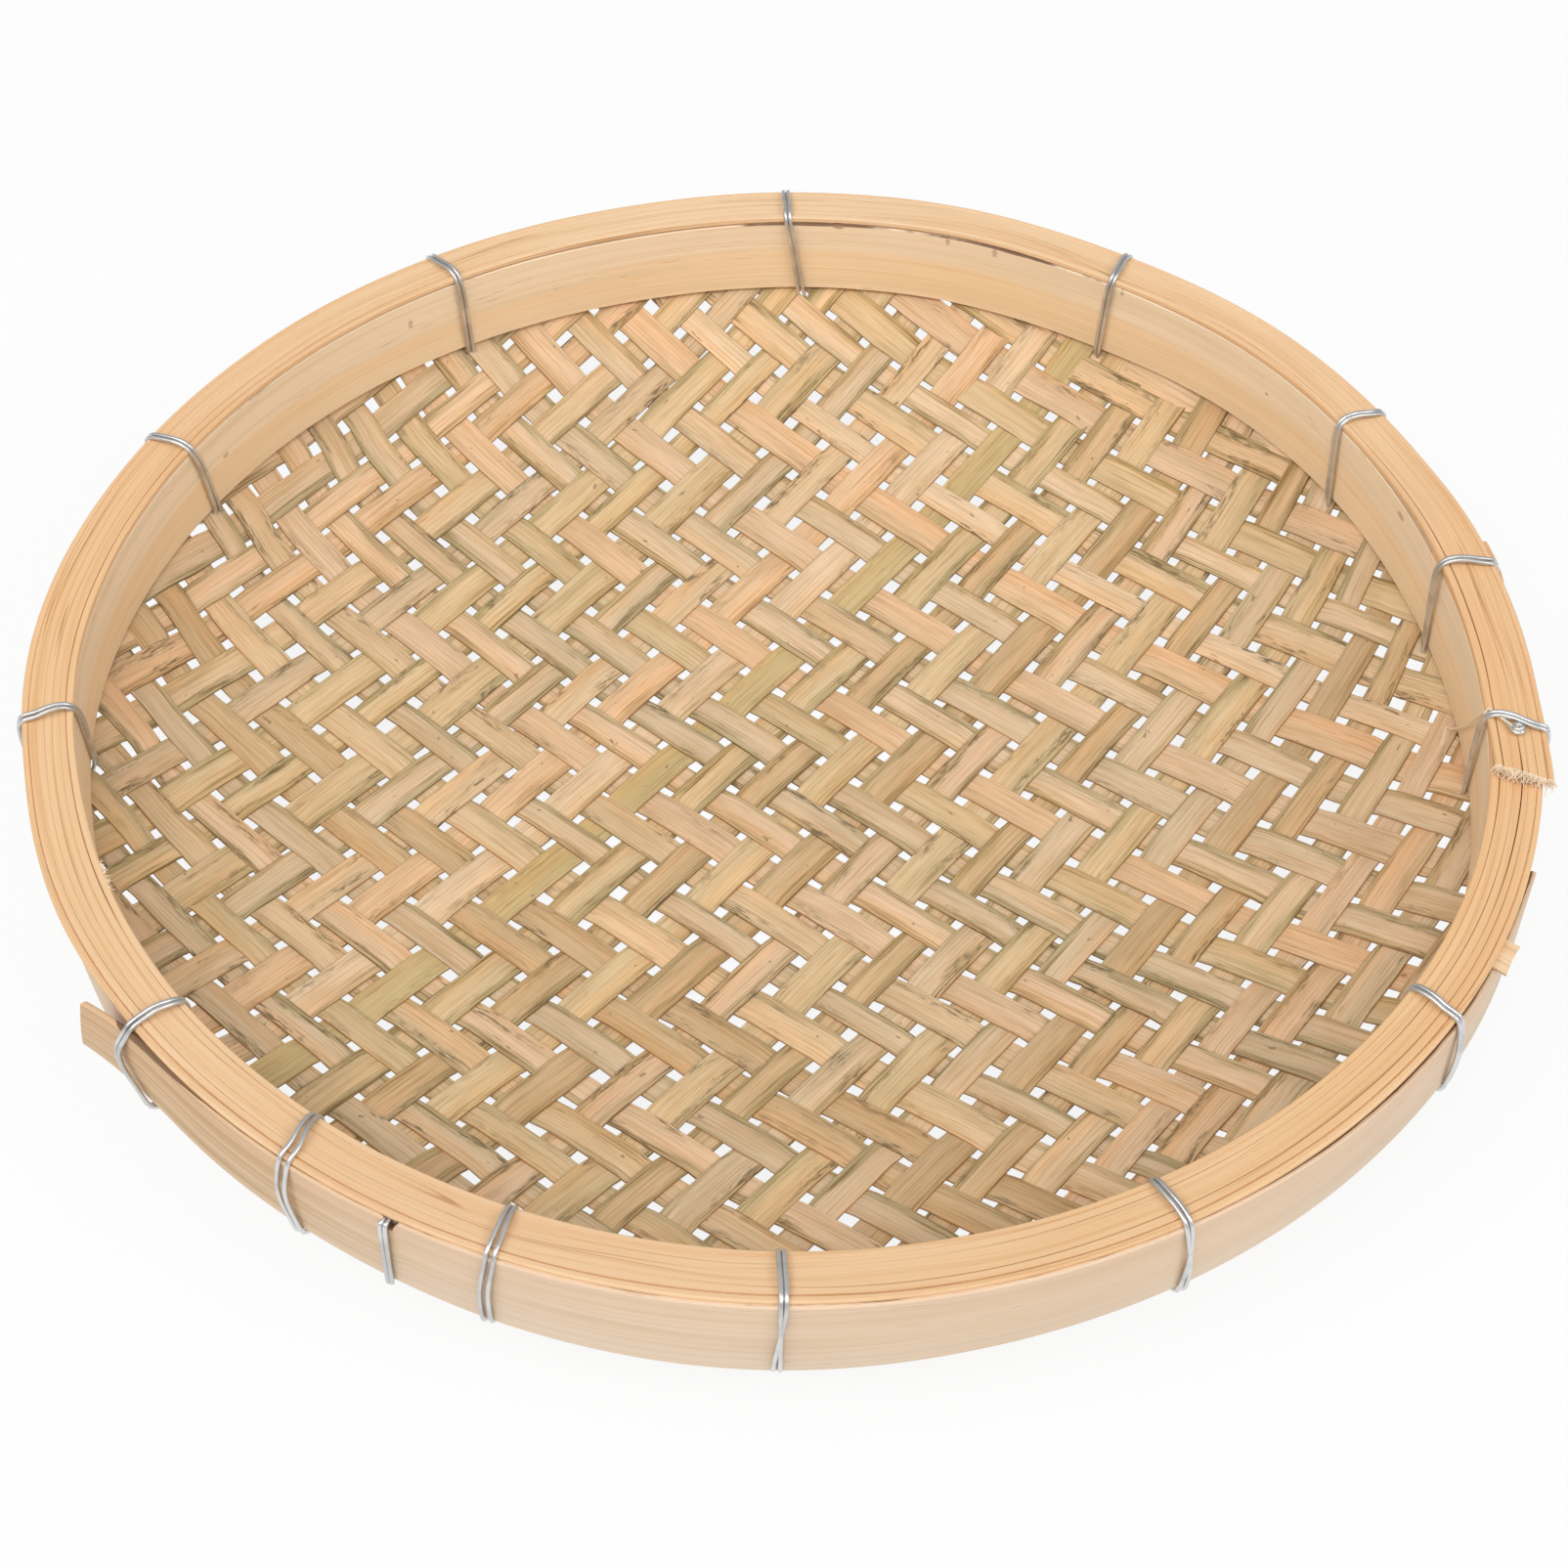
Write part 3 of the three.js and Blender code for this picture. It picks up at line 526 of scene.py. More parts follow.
def lay_splint(woven, index, dice):
    """One splint of either set, crimped over the other set and dished with the mat."""
    own, rows, others, material, slot = splint_sets[woven]
    kind, number = ("woven", index) if woven else ("straight", index + 1)
    nodes = ("woven_strips",) if woven else (f"straight_strip_{number:02d}",)
    if not woven and index in OUTERMOST_STRAIGHT:
        nodes = ()
    middle = own[index]
    width, lean, bow = (part / 1000 for part in rows[index][1:])
    crossings = []
    for other, along in enumerate(others):
        pair = (other, index) if woven else (index, other)
        crossings.append((along, 1 if straight_on_top(*pair) != woven else -1))
    crossings.insert(0, (crossings[0][0] - WOVEN_PITCH, -crossings[1][1]))
    crossings.append((crossings[-1][0] + WOVEN_PITCH, -crossings[-2][1]))
    half_chord = math.sqrt(splint_reach**2 - middle**2)
    steps = int(2 * half_chord / SPLINT_STEP)
    bm = split_bamboo(1.0, width, SPLINT_THICKNESS, steps, 4, SPLINT_ROUNDING)
    seed = index + (39 if woven else 0)
    across = bm.verts.layers.float.new("across")
    for vert in bm.verts:
        vert[across] = vert.co.y / (width / 2)

    def place(x, y, z):
        share = (2 * x - 1) * half_chord / 0.1
        centre = middle + lean * share + bow * (share**2 - 0.3)
        centre += SPLINT_STRAY * waver(seed, x * 7)
        offset = centre + y * (1 + SPLINT_SWELL * waver(seed + 0.4, x * 24, y * 90))
        half = math.sqrt(max(0.0, splint_reach**2 - offset**2 * (1 - skew**2)))
        along = -offset * skew + (2 * x - 1) * half
        twist = y * SPLINT_TWIST * waver(seed + 0.7, along * 40)
        crown = SPLINT_CROWN * (1 - (2 * y / width) ** 2)
        lift = CRIMP * crimp_at(along, crossings) + twist + crown + z
        if woven:
            spot = offset * straight_way + along * woven_way
        else:
            spot = along * straight_way + offset * woven_way
        return on_mat(spot.x, spot.y, lift)

    bend(bm, place)
    layer = bm.loops.layers.uv["UVMap"]
    start = dice.uniform(0, GRAIN_RUN)
    for face in bm.faces:
        for loop in face.loops:
            loop[layer].uv.x = start + loop[layer].uv.x * 2 * half_chord
    piece = finish_piece(f"{kind}_splint_{number:02d}", bm, material, slot, *nodes)
    choice = dice.choices(list(TONE_ODDS), list(TONE_ODDS.values()))[0]
    if woven:
        choice = WOVEN_TONES.get(index, choice)
    shade = dice.uniform(DARKEST, LIGHTEST)
    tone = [part * shade for part in SPLINT_TONES[choice]]
    sides = [dice.choice(EDGE_STRENGTHS) for _ in range(2)]
    skinned = dice.choice(SKIN_STRENGTHS)
    if choice == "olive":
        sides, skinned = OLIVE_EDGES, OLIVE_SKIN
    write_tones(piece, tone, (*sides, skinned), dice.choice(WARM_SIDES))


straight_material = splint_material("straight_splint")
woven_material = splint_material("woven_splint")
splint_sets = {
    False: (
        straight_middles, STRAIGHT_SPLINTS, woven_middles, straight_material, "straight_bamboo",
    ),
    True: (woven_middles, WOVEN_SPLINTS, straight_middles, woven_material, "woven_bamboo"),
}
dice, outermost_dice = random.Random(11), random.Random(5)
for woven, outermost in ((False, OUTERMOST_STRAIGHT), (True, OUTERMOST_WOVEN)):
    for index in range(len(splint_sets[woven][0])):
        lay_splint(woven, index, outermost_dice if index in outermost else dice)


# Hoops. Wide strips of split bamboo bent into rings on edge: an inner one whose face lines the
# tray, a filler behind the mat's edge, an outer one, and a lap strip over its joint. The rings
# butt end to end, and the lap strip is held by the ties.
RIM_TOP, HOOP_TOP = 0.04245, 0.04095
INNER_RADIUS, INNER_THICKNESS = 0.1395, 0.0022
FILLER_RADIUS, FILLER_THICKNESS = 0.1439, 0.0024
OUTER_RADIUS, OUTER_THICKNESS = 0.1474, 0.0014
INNER_JOINT, FILLER_JOINT, OUTER_JOINT = 211, 30, 275
JOINT_GAP = 0.0008
HOOP_STEPS, HOOP_ROUNDING, HOOP_WOBBLE = 360, 0.0003, 0.00012
# How far a hoop's two edges stray, in long and in short waves, and how far its top was pared.
EDGE_LONG_WAVE, EDGE_SHORT_WAVE, EDGE_PARED = 0.00022, 0.0001, 0.0002
# How much painted shade the inner hoop has along its top, in the gap under the cap, all round
# and between two angles at the back, and how much the others have, which is none.
TOP_SHADE, BACK_SHADE, BACK_SHADE_FROM, BACK_SHADE_TO, NO_SHADE = 0.12, 0.25, 56, 100, -1.5


def blot(tree, uv, along, across, length, width):
    """A soft-edged spot of that length and width at a place on a strip."""
    spread = add_node(
        tree, "ShaderNodeMapping",
        {
            "Vector": uv, "Scale": (2 / length, 2 / width, 0),
            "Location": (-2 * along / length, -2 * across / width, 0),
        },
    )
    far = add_node(tree, "ShaderNodeVectorMath", {0: spread.outputs[0]}, operation="LENGTH")
    ragged = times(tree, grain(tree, uv, 900, 900, 2), 1.2)
    return between(tree, times(tree, far.outputs["Value"], ragged, "ADD"), 1.9, 1.1)


def hoop_material(name, upper, lower, grey, marks=(), top=1.0):
    """A bent strip with fine level grain, pores, a few knots, and painted shade along its top."""
    material, tree, uv = bamboo_material(name)
    across = add_node(tree, "ShaderNodeSeparateXYZ", {0: uv}).outputs[1]
    fine = grain(tree, uv, 11, 2600, 3)
    coarse = grain(tree, uv, 6, 800, 2, 3.0)
    broad = grain(tree, uv, 7, 260, 2, 5.0)
    cloud = grain(tree, uv, 14, 90, 2, 9.0)
    level = times(tree, across, times(tree, about_zero(tree, broad), 0.012), "ADD")
    colour = tint(tree, between(tree, level, 0.000, 0.0035), lower, upper)
    colour = streaks(tree, colour, level, -0.003, -0.006, 0.7, (0.96, 1.01, 1.07))
    colour = streaks(tree, colour, cloud, 0.4, 0.7, 0.6, (0.93, 0.89, 0.83))
    colour = streaks(tree, colour, broad, 0.45, 0.68, grey, (0.86, 0.86, 0.80))
    colour = streaks(tree, colour, coarse, 0.48, 0.68, 0.4, (0.88, 0.81, 0.72))
    colour = streaks(tree, colour, fine, 0.5, 0.7, 0.4, (0.82, 0.73, 0.60))
    age = stored(tree, "age")
    colour = tint(tree, age, colour, (0.92, 0.80, 0.65, 1), "MULTIPLY")
    weathered = times(tree, age, between(tree, coarse, 0.46, 0.64))
    colour = tint(tree, weathered, colour, (0.80, 0.78, 0.66, 1), "MULTIPLY")
    # Painted shade: a ragged dark brown line along the top edge, where it lies under the cap or in
    # the gap beside it.
    ragged = times(tree, about_zero(tree, grain(tree, uv, 70, 900, 3, 14.0)), 0.0010)
    reach = times(tree, times(tree, stored(tree, "top_edge_shade"), 0.0011), ragged, "ADD")
    under = times(tree, times(tree, across, top, "SUBTRACT"), reach, "ADD")
    colour = tint(tree, between(tree, under, -0.00005, 0.0001), colour, (0.20, 0.11, 0.055, 1))
    pores = times(
        tree, between(tree, grain(tree, uv, 110, 2600, 2, 4.0), 0.62, 0.7),
        between(tree, grain(tree, uv, 12, 160, 1, 6.0), 0.5, 0.64),
    )
    colour = tint(tree, times(tree, pores, 0.6), colour, (0.40, 0.24, 0.11, 1))
    for mark in marks:
        spot = times(tree, blot(tree, uv, *mark), between(tree, fine, 0.3, 0.6, 0.75))
        colour = tint(tree, spot, colour, (0.34, 0.20, 0.10, 1))
    bamboo_surface(tree, colour, fine, 0.55, 0.35)
    return material


def on_ring(angle, radius, height):
    """The place at an angle and radius on the rim, which is a little out of round."""
    radius += rim_sway(angle)
    return Vector((radius * math.cos(angle), radius * math.sin(angle), height))


def lay_hoop(name, radius, thickness, joint, material, node, seed, held=None, top_shading=None):
    """An open hoop on edge, from one side of its joint round to the other."""
    middle = radius + thickness / 2
    gap = JOINT_GAP / middle
    length = middle * (2 * math.pi - gap)
    height = HOOP_TOP - RIM_BASE
    bm = split_bamboo(length, height, thickness, HOOP_STEPS, 6, HOOP_ROUNDING)
    start = math.radians(joint) + gap / 2
    # Each corner stores how much painted shade the strip has along its top there.
    top_edge_shade = bm.verts.layers.float.new("top_edge_shade")
    for vert in bm.verts:
        degrees = math.degrees(start + vert.co.x / middle) % 360
        vert[top_edge_shade] = top_shading(degrees) if top_shading else NO_SHADE

    def place(x, y, z):
        angle = start + x / middle
        wobble = HOOP_WOBBLE * waver(seed, x * 9) - (held(angle) if held else 0.0)
        level = y / height + 0.5
        edge = EDGE_LONG_WAVE * waver(seed + 0.5, x * 14)
        edge += EDGE_SHORT_WAVE * waver(seed + 0.2, x * 60)
        edge *= 2 * level - 1
        edge -= EDGE_PARED * level
        return on_ring(angle, middle - z + wobble, (HOOP_TOP + RIM_BASE) / 2 + y + edge)

    bend(bm, place)
    return finish_piece(name, bm, material, "hoop_bamboo", node)


# Knots in the inner hoop's face: angle, height under its top, length and height, in mm.
KNOTS = [
    (57.3, 0.9, 1.0, 1.5), (70.4, 1.7, 1.3, 2.6), (75.0, 1.2, 1.1, 2.0), (85.4, 0.6, 2.4, 1.8),
    (20.0, 2.6, 3.2, 1.6), (40.5, 7.0, 1.0, 1.0), (128.0, 6.0, 1.2, 2.4), (151.0, 8.5, 2.0, 1.4),
]


def knot_places():
    """Where the knots lie on the straight strip, in metres."""
    middle = INNER_RADIUS + INNER_THICKNESS / 2
    half = (HOOP_TOP - RIM_BASE) / 2
    return [
        (
            math.radians((angle - INNER_JOINT) % 360) * middle,
            half + INNER_THICKNESS / 2 - low / 1000, length / 1000, height / 1000,
        )
        for angle, low, length, height in KNOTS
    ]


LAP_FREE_END, LAP_SAWN_END = 213.4, 340
LAP_SPRING_ANGLE, LAP_SPRING_OUT, LAP_SPRING_LOW, LAP_SPRING_CURVE = 12.1, 0.0070, 0.63, 2.9
LAP_LIFT_ANGLE, LAP_LIFT_OUT = 4, 0.0005
LAP_SLANT = 2.0
LAP_AGED_FROM, LAP_AGED_OVER = 222, 30
LAP_RADIUS, LAP_THICKNESS, LAP_STEPS = 0.1490, 0.0012, 520
LAP_TOP, LAP_TOP_RIGHT, LAP_TOP_FALL_FROM, LAP_TOP_FALL_OVER = 0.04165, 0.0402, 295, 25
LAP_TOP_WAVE = 0.0002
# How far the lap strip's lower edge stands over the hoop's, every 15 degrees round, in mm.
LAP_LOW_EDGE = [
    0, 0, 0, 0, 0, 0, 0, 0, 0, 0, 0, 0,
    0, 0.3, 1.7, 1.2, 1.0, -0.3, -0.6, 0.5, 1.1, 1.1, 1.0, 0.6,
]
# Where the wedge under the sprung end has painted shade along its top, in the gap under the cap.
WEDGE_FROM, WEDGE_TO = 218, 222.5
NOTCH_ANGLE, NOTCH_HALF, NOTCH_DEEP = 243.95, 0.5, 0.0024
OUTER_PULL = 0.0007
LEFT_GAP_ANGLE, LEFT_GAP_HALF, LEFT_PULL, LEFT_OVERHANG = 206, 14, 0.0004, 0.0006


def left_gap(degrees):
    """Greatest at the left, where the hoop lies deepest in and the cap stands over it."""
    return ease(1 - abs(degrees - LEFT_GAP_ANGLE) / LEFT_GAP_HALF)


def outer_pull(angle):
    """The outer hoop lies closer in where no lap strip covers it."""
    degrees = math.degrees(angle) % 360
    covered = ease((degrees - LAP_FREE_END + 6) / 12) * ease((LAP_SAWN_END + 3 - degrees) / 6)
    return OUTER_PULL * (1 - covered) + LEFT_PULL * left_gap(degrees)


inner_material = hoop_material(
    "inner_hoop_face", (0.96, 0.78, 0.567, 1), (0.96, 0.717, 0.457, 1), 0.4, knot_places(),
    (HOOP_TOP - RIM_BASE + INNER_THICKNESS) / 2,
)
outer_material = hoop_material(
    "outer_hoop_skin", (0.785, 0.582, 0.412, 1), (0.775, 0.592, 0.422, 1), 0.35, (),
    (LAP_TOP - RIM_BASE - LAP_THICKNESS) / 2,
)


def inner_shade(degrees):
    """How much painted shade the inner hoop has along its top at an angle."""
    at_back = ease((degrees - BACK_SHADE_FROM) / 12) * ease((BACK_SHADE_TO - degrees) / 8)
    return TOP_SHADE + BACK_SHADE * at_back


lay_hoop(
    "inner_hoop_ring", INNER_RADIUS, INNER_THICKNESS, INNER_JOINT, inner_material, "inner_hoop",
    71, None, inner_shade,
)
lay_hoop(
    "filler_hoop_ring", FILLER_RADIUS, FILLER_THICKNESS, FILLER_JOINT, outer_material,
    "filler_hoop", 72,
)
lay_hoop(
    "outer_hoop_ring", OUTER_RADIUS, OUTER_THICKNESS, OUTER_JOINT, outer_material, "outer_hoop",
    73, outer_pull,
)


def lap_off(degrees, level=1.0):
    """How far off the hoop the lap strip has sprung or lifted, most along its top."""
    spring = max(0.0, 1 - (degrees - LAP_FREE_END) / LAP_SPRING_ANGLE)
    lift = max(0.0, 1 - (LAP_SAWN_END - degrees) / LAP_LIFT_ANGLE)
    leaning = LAP_SPRING_LOW + (1 - LAP_SPRING_LOW) * level
    return LAP_SPRING_OUT * leaning * spring**LAP_SPRING_CURVE + LAP_LIFT_OUT * lift


def lay_lap_strip():
    """The lap strip: its slanted left end has sprung off, its sawn right end has lifted."""
    middle = LAP_RADIUS + LAP_THICKNESS / 2
    sweep = LAP_SAWN_END - LAP_FREE_END
    length = math.radians(sweep) * middle
    height = LAP_TOP - RIM_BASE
    bm = split_bamboo(length, height, LAP_THICKNESS, LAP_STEPS, 8, HOOP_ROUNDING)
    age, top_edge_shade = (bm.verts.layers.float.new(key) for key in ("age", "top_edge_shade"))

    def angle_at(x, level):
        start = LAP_FREE_END + LAP_SLANT * level
        return start + (LAP_SAWN_END - start) * x / length

    for vert in bm.verts:
        degrees = angle_at(vert.co.x, vert.co.y / height + 0.5)
        vert[age] = 1 - ease((degrees - LAP_AGED_FROM) / LAP_AGED_OVER)
        # Painted shade along the top edge: a thin line all along, strong in the wedge under the
        # sprung end and in the notch, and none at the sprung end.
        wedge = ease((degrees - WEDGE_FROM) / 1.5) * (1 - ease((degrees - WEDGE_TO) / 6))
        notched = max(0.0, 1 - abs(degrees - NOTCH_ANGLE) / (NOTCH_HALF * 1.1))
        vert[top_edge_shade] = wedge + notched * 2 - 0.6 + 0.3 * vert[age]
        vert[top_edge_shade] -= 1.4 * ease((WEDGE_FROM + 1 - degrees) / 2)

    def place(x, y, z):
        level = y / height + 0.5
        degrees = angle_at(x, level)
        low = between_marks(LAP_LOW_EDGE, degrees / 15) / 1000
        notch = max(0.0, 1 - abs(degrees - NOTCH_ANGLE) / NOTCH_HALF) ** 0.5 * NOTCH_DEEP
        top = LAP_TOP - notch + LAP_TOP_WAVE * waver(83, x * 30)
        fallen = ease((degrees - LAP_TOP_FALL_FROM) / LAP_TOP_FALL_OVER)
        top -= (LAP_TOP - LAP_TOP_RIGHT) * fallen
        up = RIM_BASE + low + (top - RIM_BASE - low) * level
        off = lap_off(degrees, level) + HOOP_WOBBLE * waver(81, x * 12)
        return on_ring(math.radians(degrees), middle - z + off, up)

    bend(bm, place)
    return finish_piece("lap_strip_skin", bm, outer_material, "hoop_bamboo", "lap_strip")


lay_lap_strip()


# Cap. One flat strip of peeled bamboo bent the hard way round on top, so it has split
# lengthwise into strands. Its upper end rides on its lower end and is sawn off rough.
CAP_INNER, CAP_OUTER, CAP_THICKNESS = 0.13945, 0.1495, 0.0013
CAP_STRANDS, CAP_STEPS = 7, 520
INNER_ROUNDING, OUTER_ROUNDING, SPLIT_ROUNDING = 0.0002, 0.00035, 0.00003
# Half the gap of a closed split, and how much an open one adds to it.
CLOSED_GAP, OPEN_GAP = 0.00001, 0.00006
# How far the splits drift, all together and one by one, how far they waver, how far a strand
# lies under or over its neighbours, and how high and low it runs.
DRIFT_TOGETHER, DRIFT_ALONE, SPLIT_WAVER = 0.0006, 0.0005, 0.0001
STRAND_SINK, STRAND_RISE, STRAND_WAVE, SAWN_BACK = -0.00006, 0.00003, 0.00007, 0.0004
CAP_UPPER_END, CAP_LOWER_END = -11.8, 13.9
CAP_RAMP_START, CAP_RAMP = 14, 14
CAP_RISE = 0.0019
CAP_FAN_IN, CAP_FAN_OUT = 0.00075, 0.0003
CAP_FAN_START, CAP_FAN_ANGLE = 4, 22
CAP_FLARE_OUT, CAP_FLARE_END, CAP_FLARE_ANGLE = 0.0016, -3.5, 9
LOWER_END_OUT = 0.0021
SAWN_SLANT, SAWN_SKEW, SAWN_ROOM = 0.0004, 0.0021, 0.008


def cap_material():
    """Peeled bamboo: light orange with fine wandering fibres, and painted shade where it has split.
    """
    material, tree, uv = bamboo_material("cap_strand_wood")
    along, across, _ = add_node(tree, "ShaderNodeSeparateXYZ", {0: uv}).outputs
    drift = times(tree, grain(tree, uv, 16, 0, 1, 21.0), 0.006)
    across = times(tree, across, drift, "ADD")
    wandering = add_node(tree, "ShaderNodeCombineXYZ", {0: along, 1: across}).outputs[0]
    fine = grain(tree, wandering, 9, 3200, 3)
    coarse = grain(tree, wandering, 5, 1100, 2, 3.0)
    broad = grain(tree, wandering, 6, 260, 1, 5.0)
    cloud = grain(tree, uv, 18, 120, 2, 9.0)
    colour = tint(
        tree, between(tree, cloud, 0.35, 0.7), (1.015, 1.035, 1.06, 1), (0.985, 0.96, 0.93, 1)
    )
    colour = tint(tree, 1.0, stored(tree, "tone", "Color"), colour, "MULTIPLY")
    colour = streaks(tree, colour, broad, 0.45, 0.7, 0.6, (0.93, 0.87, 0.78))
    colour = streaks(tree, colour, coarse, 0.5, 0.7, 0.6, (0.90, 0.82, 0.70))
    colour = streaks(tree, colour, fine, 0.5, 0.72, 0.55, (0.86, 0.76, 0.62))
    lines = grain(tree, wandering, 5, 420, 1, 15.0)
    lines = times(tree, about_zero(tree, lines), 0.0, "ABSOLUTE")
    fading = between(tree, grain(tree, wandering, 14, 300, 1, 18.0), 0.45, 0.65, 0.7)
    thin = times(tree, between(tree, lines, 0.016, 0.004), fading)
    colour = tint(tree, thin, colour, (0.62, 0.45, 0.29, 1), "MULTIPLY")
    # Painted shade along the strands' edges where the splits have opened.
    split = times(tree, between(tree, stored(tree, "edge"), 0.82, 1.0), stored(tree, "split"))
    colour = tint(tree, split, colour, (0.52, 0.34, 0.20, 1), "MULTIPLY")
    # The sawn end: pale torn wood mottled with painted shade standing for the crevices between its
    # fibres.
    torn_and_shaded = between(tree, grain(tree, uv, 3000, 3000, 2), 0.4, 0.6)
    torn_and_shaded = tint(tree, torn_and_shaded, (0.72, 0.52, 0.33, 1), (1.0, 0.88, 0.70, 1))
    colour = tint(tree, between(tree, stored(tree, "sawn"), 0.85, 1.0), colour, torn_and_shaded)
    bamboo_surface(tree, colour, fine, 0.55, 0.35)
    return material


def split_strength(number, angle):
    """How far the cap has opened between two strands at an angle, from 0 to 1."""
    if not 0 < number < CAP_STRANDS:
        return 0.0
    degrees = math.degrees(angle)
    # It has opened most toward its sawn ends, there along the inner edge more than the outer.
    near_end = 1 - ease((degrees - CAP_UPPER_END) / 9) + 0.8 * ease((degrees - 325) / 15)
    near_end += {1: 1.3, CAP_STRANDS - 1: -1.4}.get(number, 0) * ease((degrees - 310) / 30)
    strength = -0.35 + 1.9 * waver(97 + number, angle * 1.5) + 0.6 * near_end
    # From the left on it is closed along the outer edge, and at the left it is open along the
    # inner one.
    if number == CAP_STRANDS - 1:
        strength -= 0.6 * ease((degrees - 165) / 12)
    if number == 1:
        strength += 0.9 * ease((degrees - 160) / 12) * ease((214 - degrees) / 8)
    return max(0.0, min(1.0, strength))


def split_line(number, degrees):
    """Radius and half the gap of the split between two strands, at an angle."""
    angle = math.radians(degrees)
    share = number / CAP_STRANDS
    fan = 1 - ease((degrees - CAP_FAN_START) / CAP_FAN_ANGLE)
    flare = max(0.0, (CAP_FLARE_END - degrees) / CAP_FLARE_ANGLE) ** 1.6
    radius = CAP_INNER - CAP_FAN_IN * fan + CAP_FLARE_OUT * flare
    radius += (CAP_OUTER + CAP_FAN_OUT * fan + CAP_FLARE_OUT * flare - radius) * share
    radius += LOWER_END_OUT * share**2 * ease((degrees - 365) / 7)
    radius += LEFT_OVERHANG * share**2 * left_gap(degrees)
    loose = 4 * share * (1 - share)
    drift = DRIFT_TOGETHER * waver(89, angle * 2.6)
    drift += DRIFT_ALONE * waver(90 + number, angle * 2.2)
    radius += loose * drift + SPLIT_WAVER * waver(101 + number, angle * 7)
    return radius, CLOSED_GAP + OPEN_GAP * split_strength(number, angle) ** 2


def cap_rise(degrees):
    """How far the cap stands over its own lower end at an angle."""
    return CAP_RISE * (1 - ease((degrees - CAP_RAMP_START) / CAP_RAMP))


# The cap's colour every 30 degrees round from the right, with painted light: paler at the back,
# duller in front.
CAP_TONES_AND_LIGHT = [
    (0.85, 0.53, 0.278), (0.87, 0.57, 0.322), (0.895, 0.615, 0.370), (0.895, 0.63, 0.390),
    (0.885, 0.61, 0.361), (0.87, 0.57, 0.322), (0.86, 0.55, 0.292), (0.84, 0.56, 0.317),
    (0.81, 0.545, 0.322), (0.78, 0.515, 0.292), (0.80, 0.52, 0.283), (0.83, 0.525, 0.273),
]


def cap_tone_and_light(degrees):
    """The cap's colour at an angle, with its painted light."""
    return [between_marks(part, degrees % 360 / 30) for part in zip(*CAP_TONES_AND_LIGHT)]


def lay_cap_strand(index, material, dice):
    """One strand of the cap, from its sawn upper end round to its lower end."""
    sweep = math.radians(CAP_LOWER_END + 360 - CAP_UPPER_END)
    middle = (CAP_INNER + CAP_OUTER) / 2
    width = (CAP_OUTER - CAP_INNER) / CAP_STRANDS
    outside = {0: INNER_ROUNDING, CAP_STRANDS - 1: OUTER_ROUNDING}
    rounding = outside.get(index, SPLIT_ROUNDING)
    bm = split_bamboo(sweep * middle, width, CAP_THICKNESS, CAP_STEPS, 2, rounding)
    layers = {key: bm.verts.layers.float.new(key) for key in ("edge", "split", "sawn")}
    tone = bm.verts.layers.float_color.new("tone")
    uv = bm.loops.layers.uv["UVMap"]
    for vert in bm.verts:
        number = index + (vert.co.y > 0)
        angle = math.radians(CAP_UPPER_END) + vert.co.x / middle
        by_split = 0 < number < CAP_STRANDS
        vert[layers["edge"]] = min(1.0, abs(vert.co.y) / (width / 2)) if by_split else 0
        vert[layers["split"]] = split_strength(number, angle)
        vert[layers["sawn"]] = float(vert.co.x < 0.0001)
        vert[tone] = (*cap_tone_and_light(math.degrees(angle)), 1.0)
    for face in bm.faces:
        for loop in face.loops:
            loop[uv].uv.y += index * width
    sink = dice.uniform(STRAND_SINK, STRAND_RISE)
    sawn_back = dice.uniform(0, SAWN_BACK)

    def place(x, y, z):
        slant = SAWN_SLANT * (z / CAP_THICKNESS + 0.5) + sawn_back
        slant -= SAWN_SKEW * (index + y / width + 0.5) / CAP_STRANDS
        x += slant * max(0.0, 1 - x / SAWN_ROOM)
        degrees = CAP_UPPER_END + math.degrees(x / middle)
        low, low_gap = split_line(index, degrees)
        high, high_gap = split_line(index + 1, degrees)
        share = y / width + 0.5
        radius = (low + low_gap) * (1 - share) + (high - high_gap) * share
        drop = sink + STRAND_WAVE * waver(110 + index, degrees / 19)
        height = RIM_TOP - CAP_THICKNESS / 2 + z + cap_rise(degrees) + drop
        return on_ring(math.radians(degrees), radius, height)

    bend(bm, place)
    name = f"cap_strand_{index + 1}"
    return finish_piece(f"{name}_split", bm, material, "cap_bamboo", name)


strand_material = cap_material()
for index in range(CAP_STRANDS):
    lay_cap_strand(index, strand_material, dice)

# Fibres. The saw tore fine fibres out of the cap's upper end, and they stand out from it. At
# the left a few more have been rubbed up from the cap's inner edge.
FIBRE_COUNT, FIBRE_RADIUS, FIBRE_TIP = 120, 0.00016, 0.00008
SHORT_FIBRE, LONG_FIBRE, FIBRE_SPREAD = 0.0009, 0.0030, 1.7
RUBBED_COUNT, RUBBED_FROM, RUBBED_TO = 30, 203.6, 206.8
RUBBED_SHORT, RUBBED_LONG = 0.0006, 0.0013


def rim_ways(angle):
    """The ways outward, and onward with the clock as seen from above, at an angle on the rim."""
    outward = Vector((math.cos(angle), math.sin(angle), 0))
    return outward, Vector((math.sin(angle), -math.cos(angle), 0))


def fibre_mesh():
    """An empty mesh for fibres, and its layer that marks torn wood."""
    bm = bmesh.new()
    for key in ("edge", "split", "sawn"):
        bm.verts.layers.float.new(key)
    bm.loops.layers.uv.new("UVMap")
    return bm, bm.verts.layers.float["sawn"]


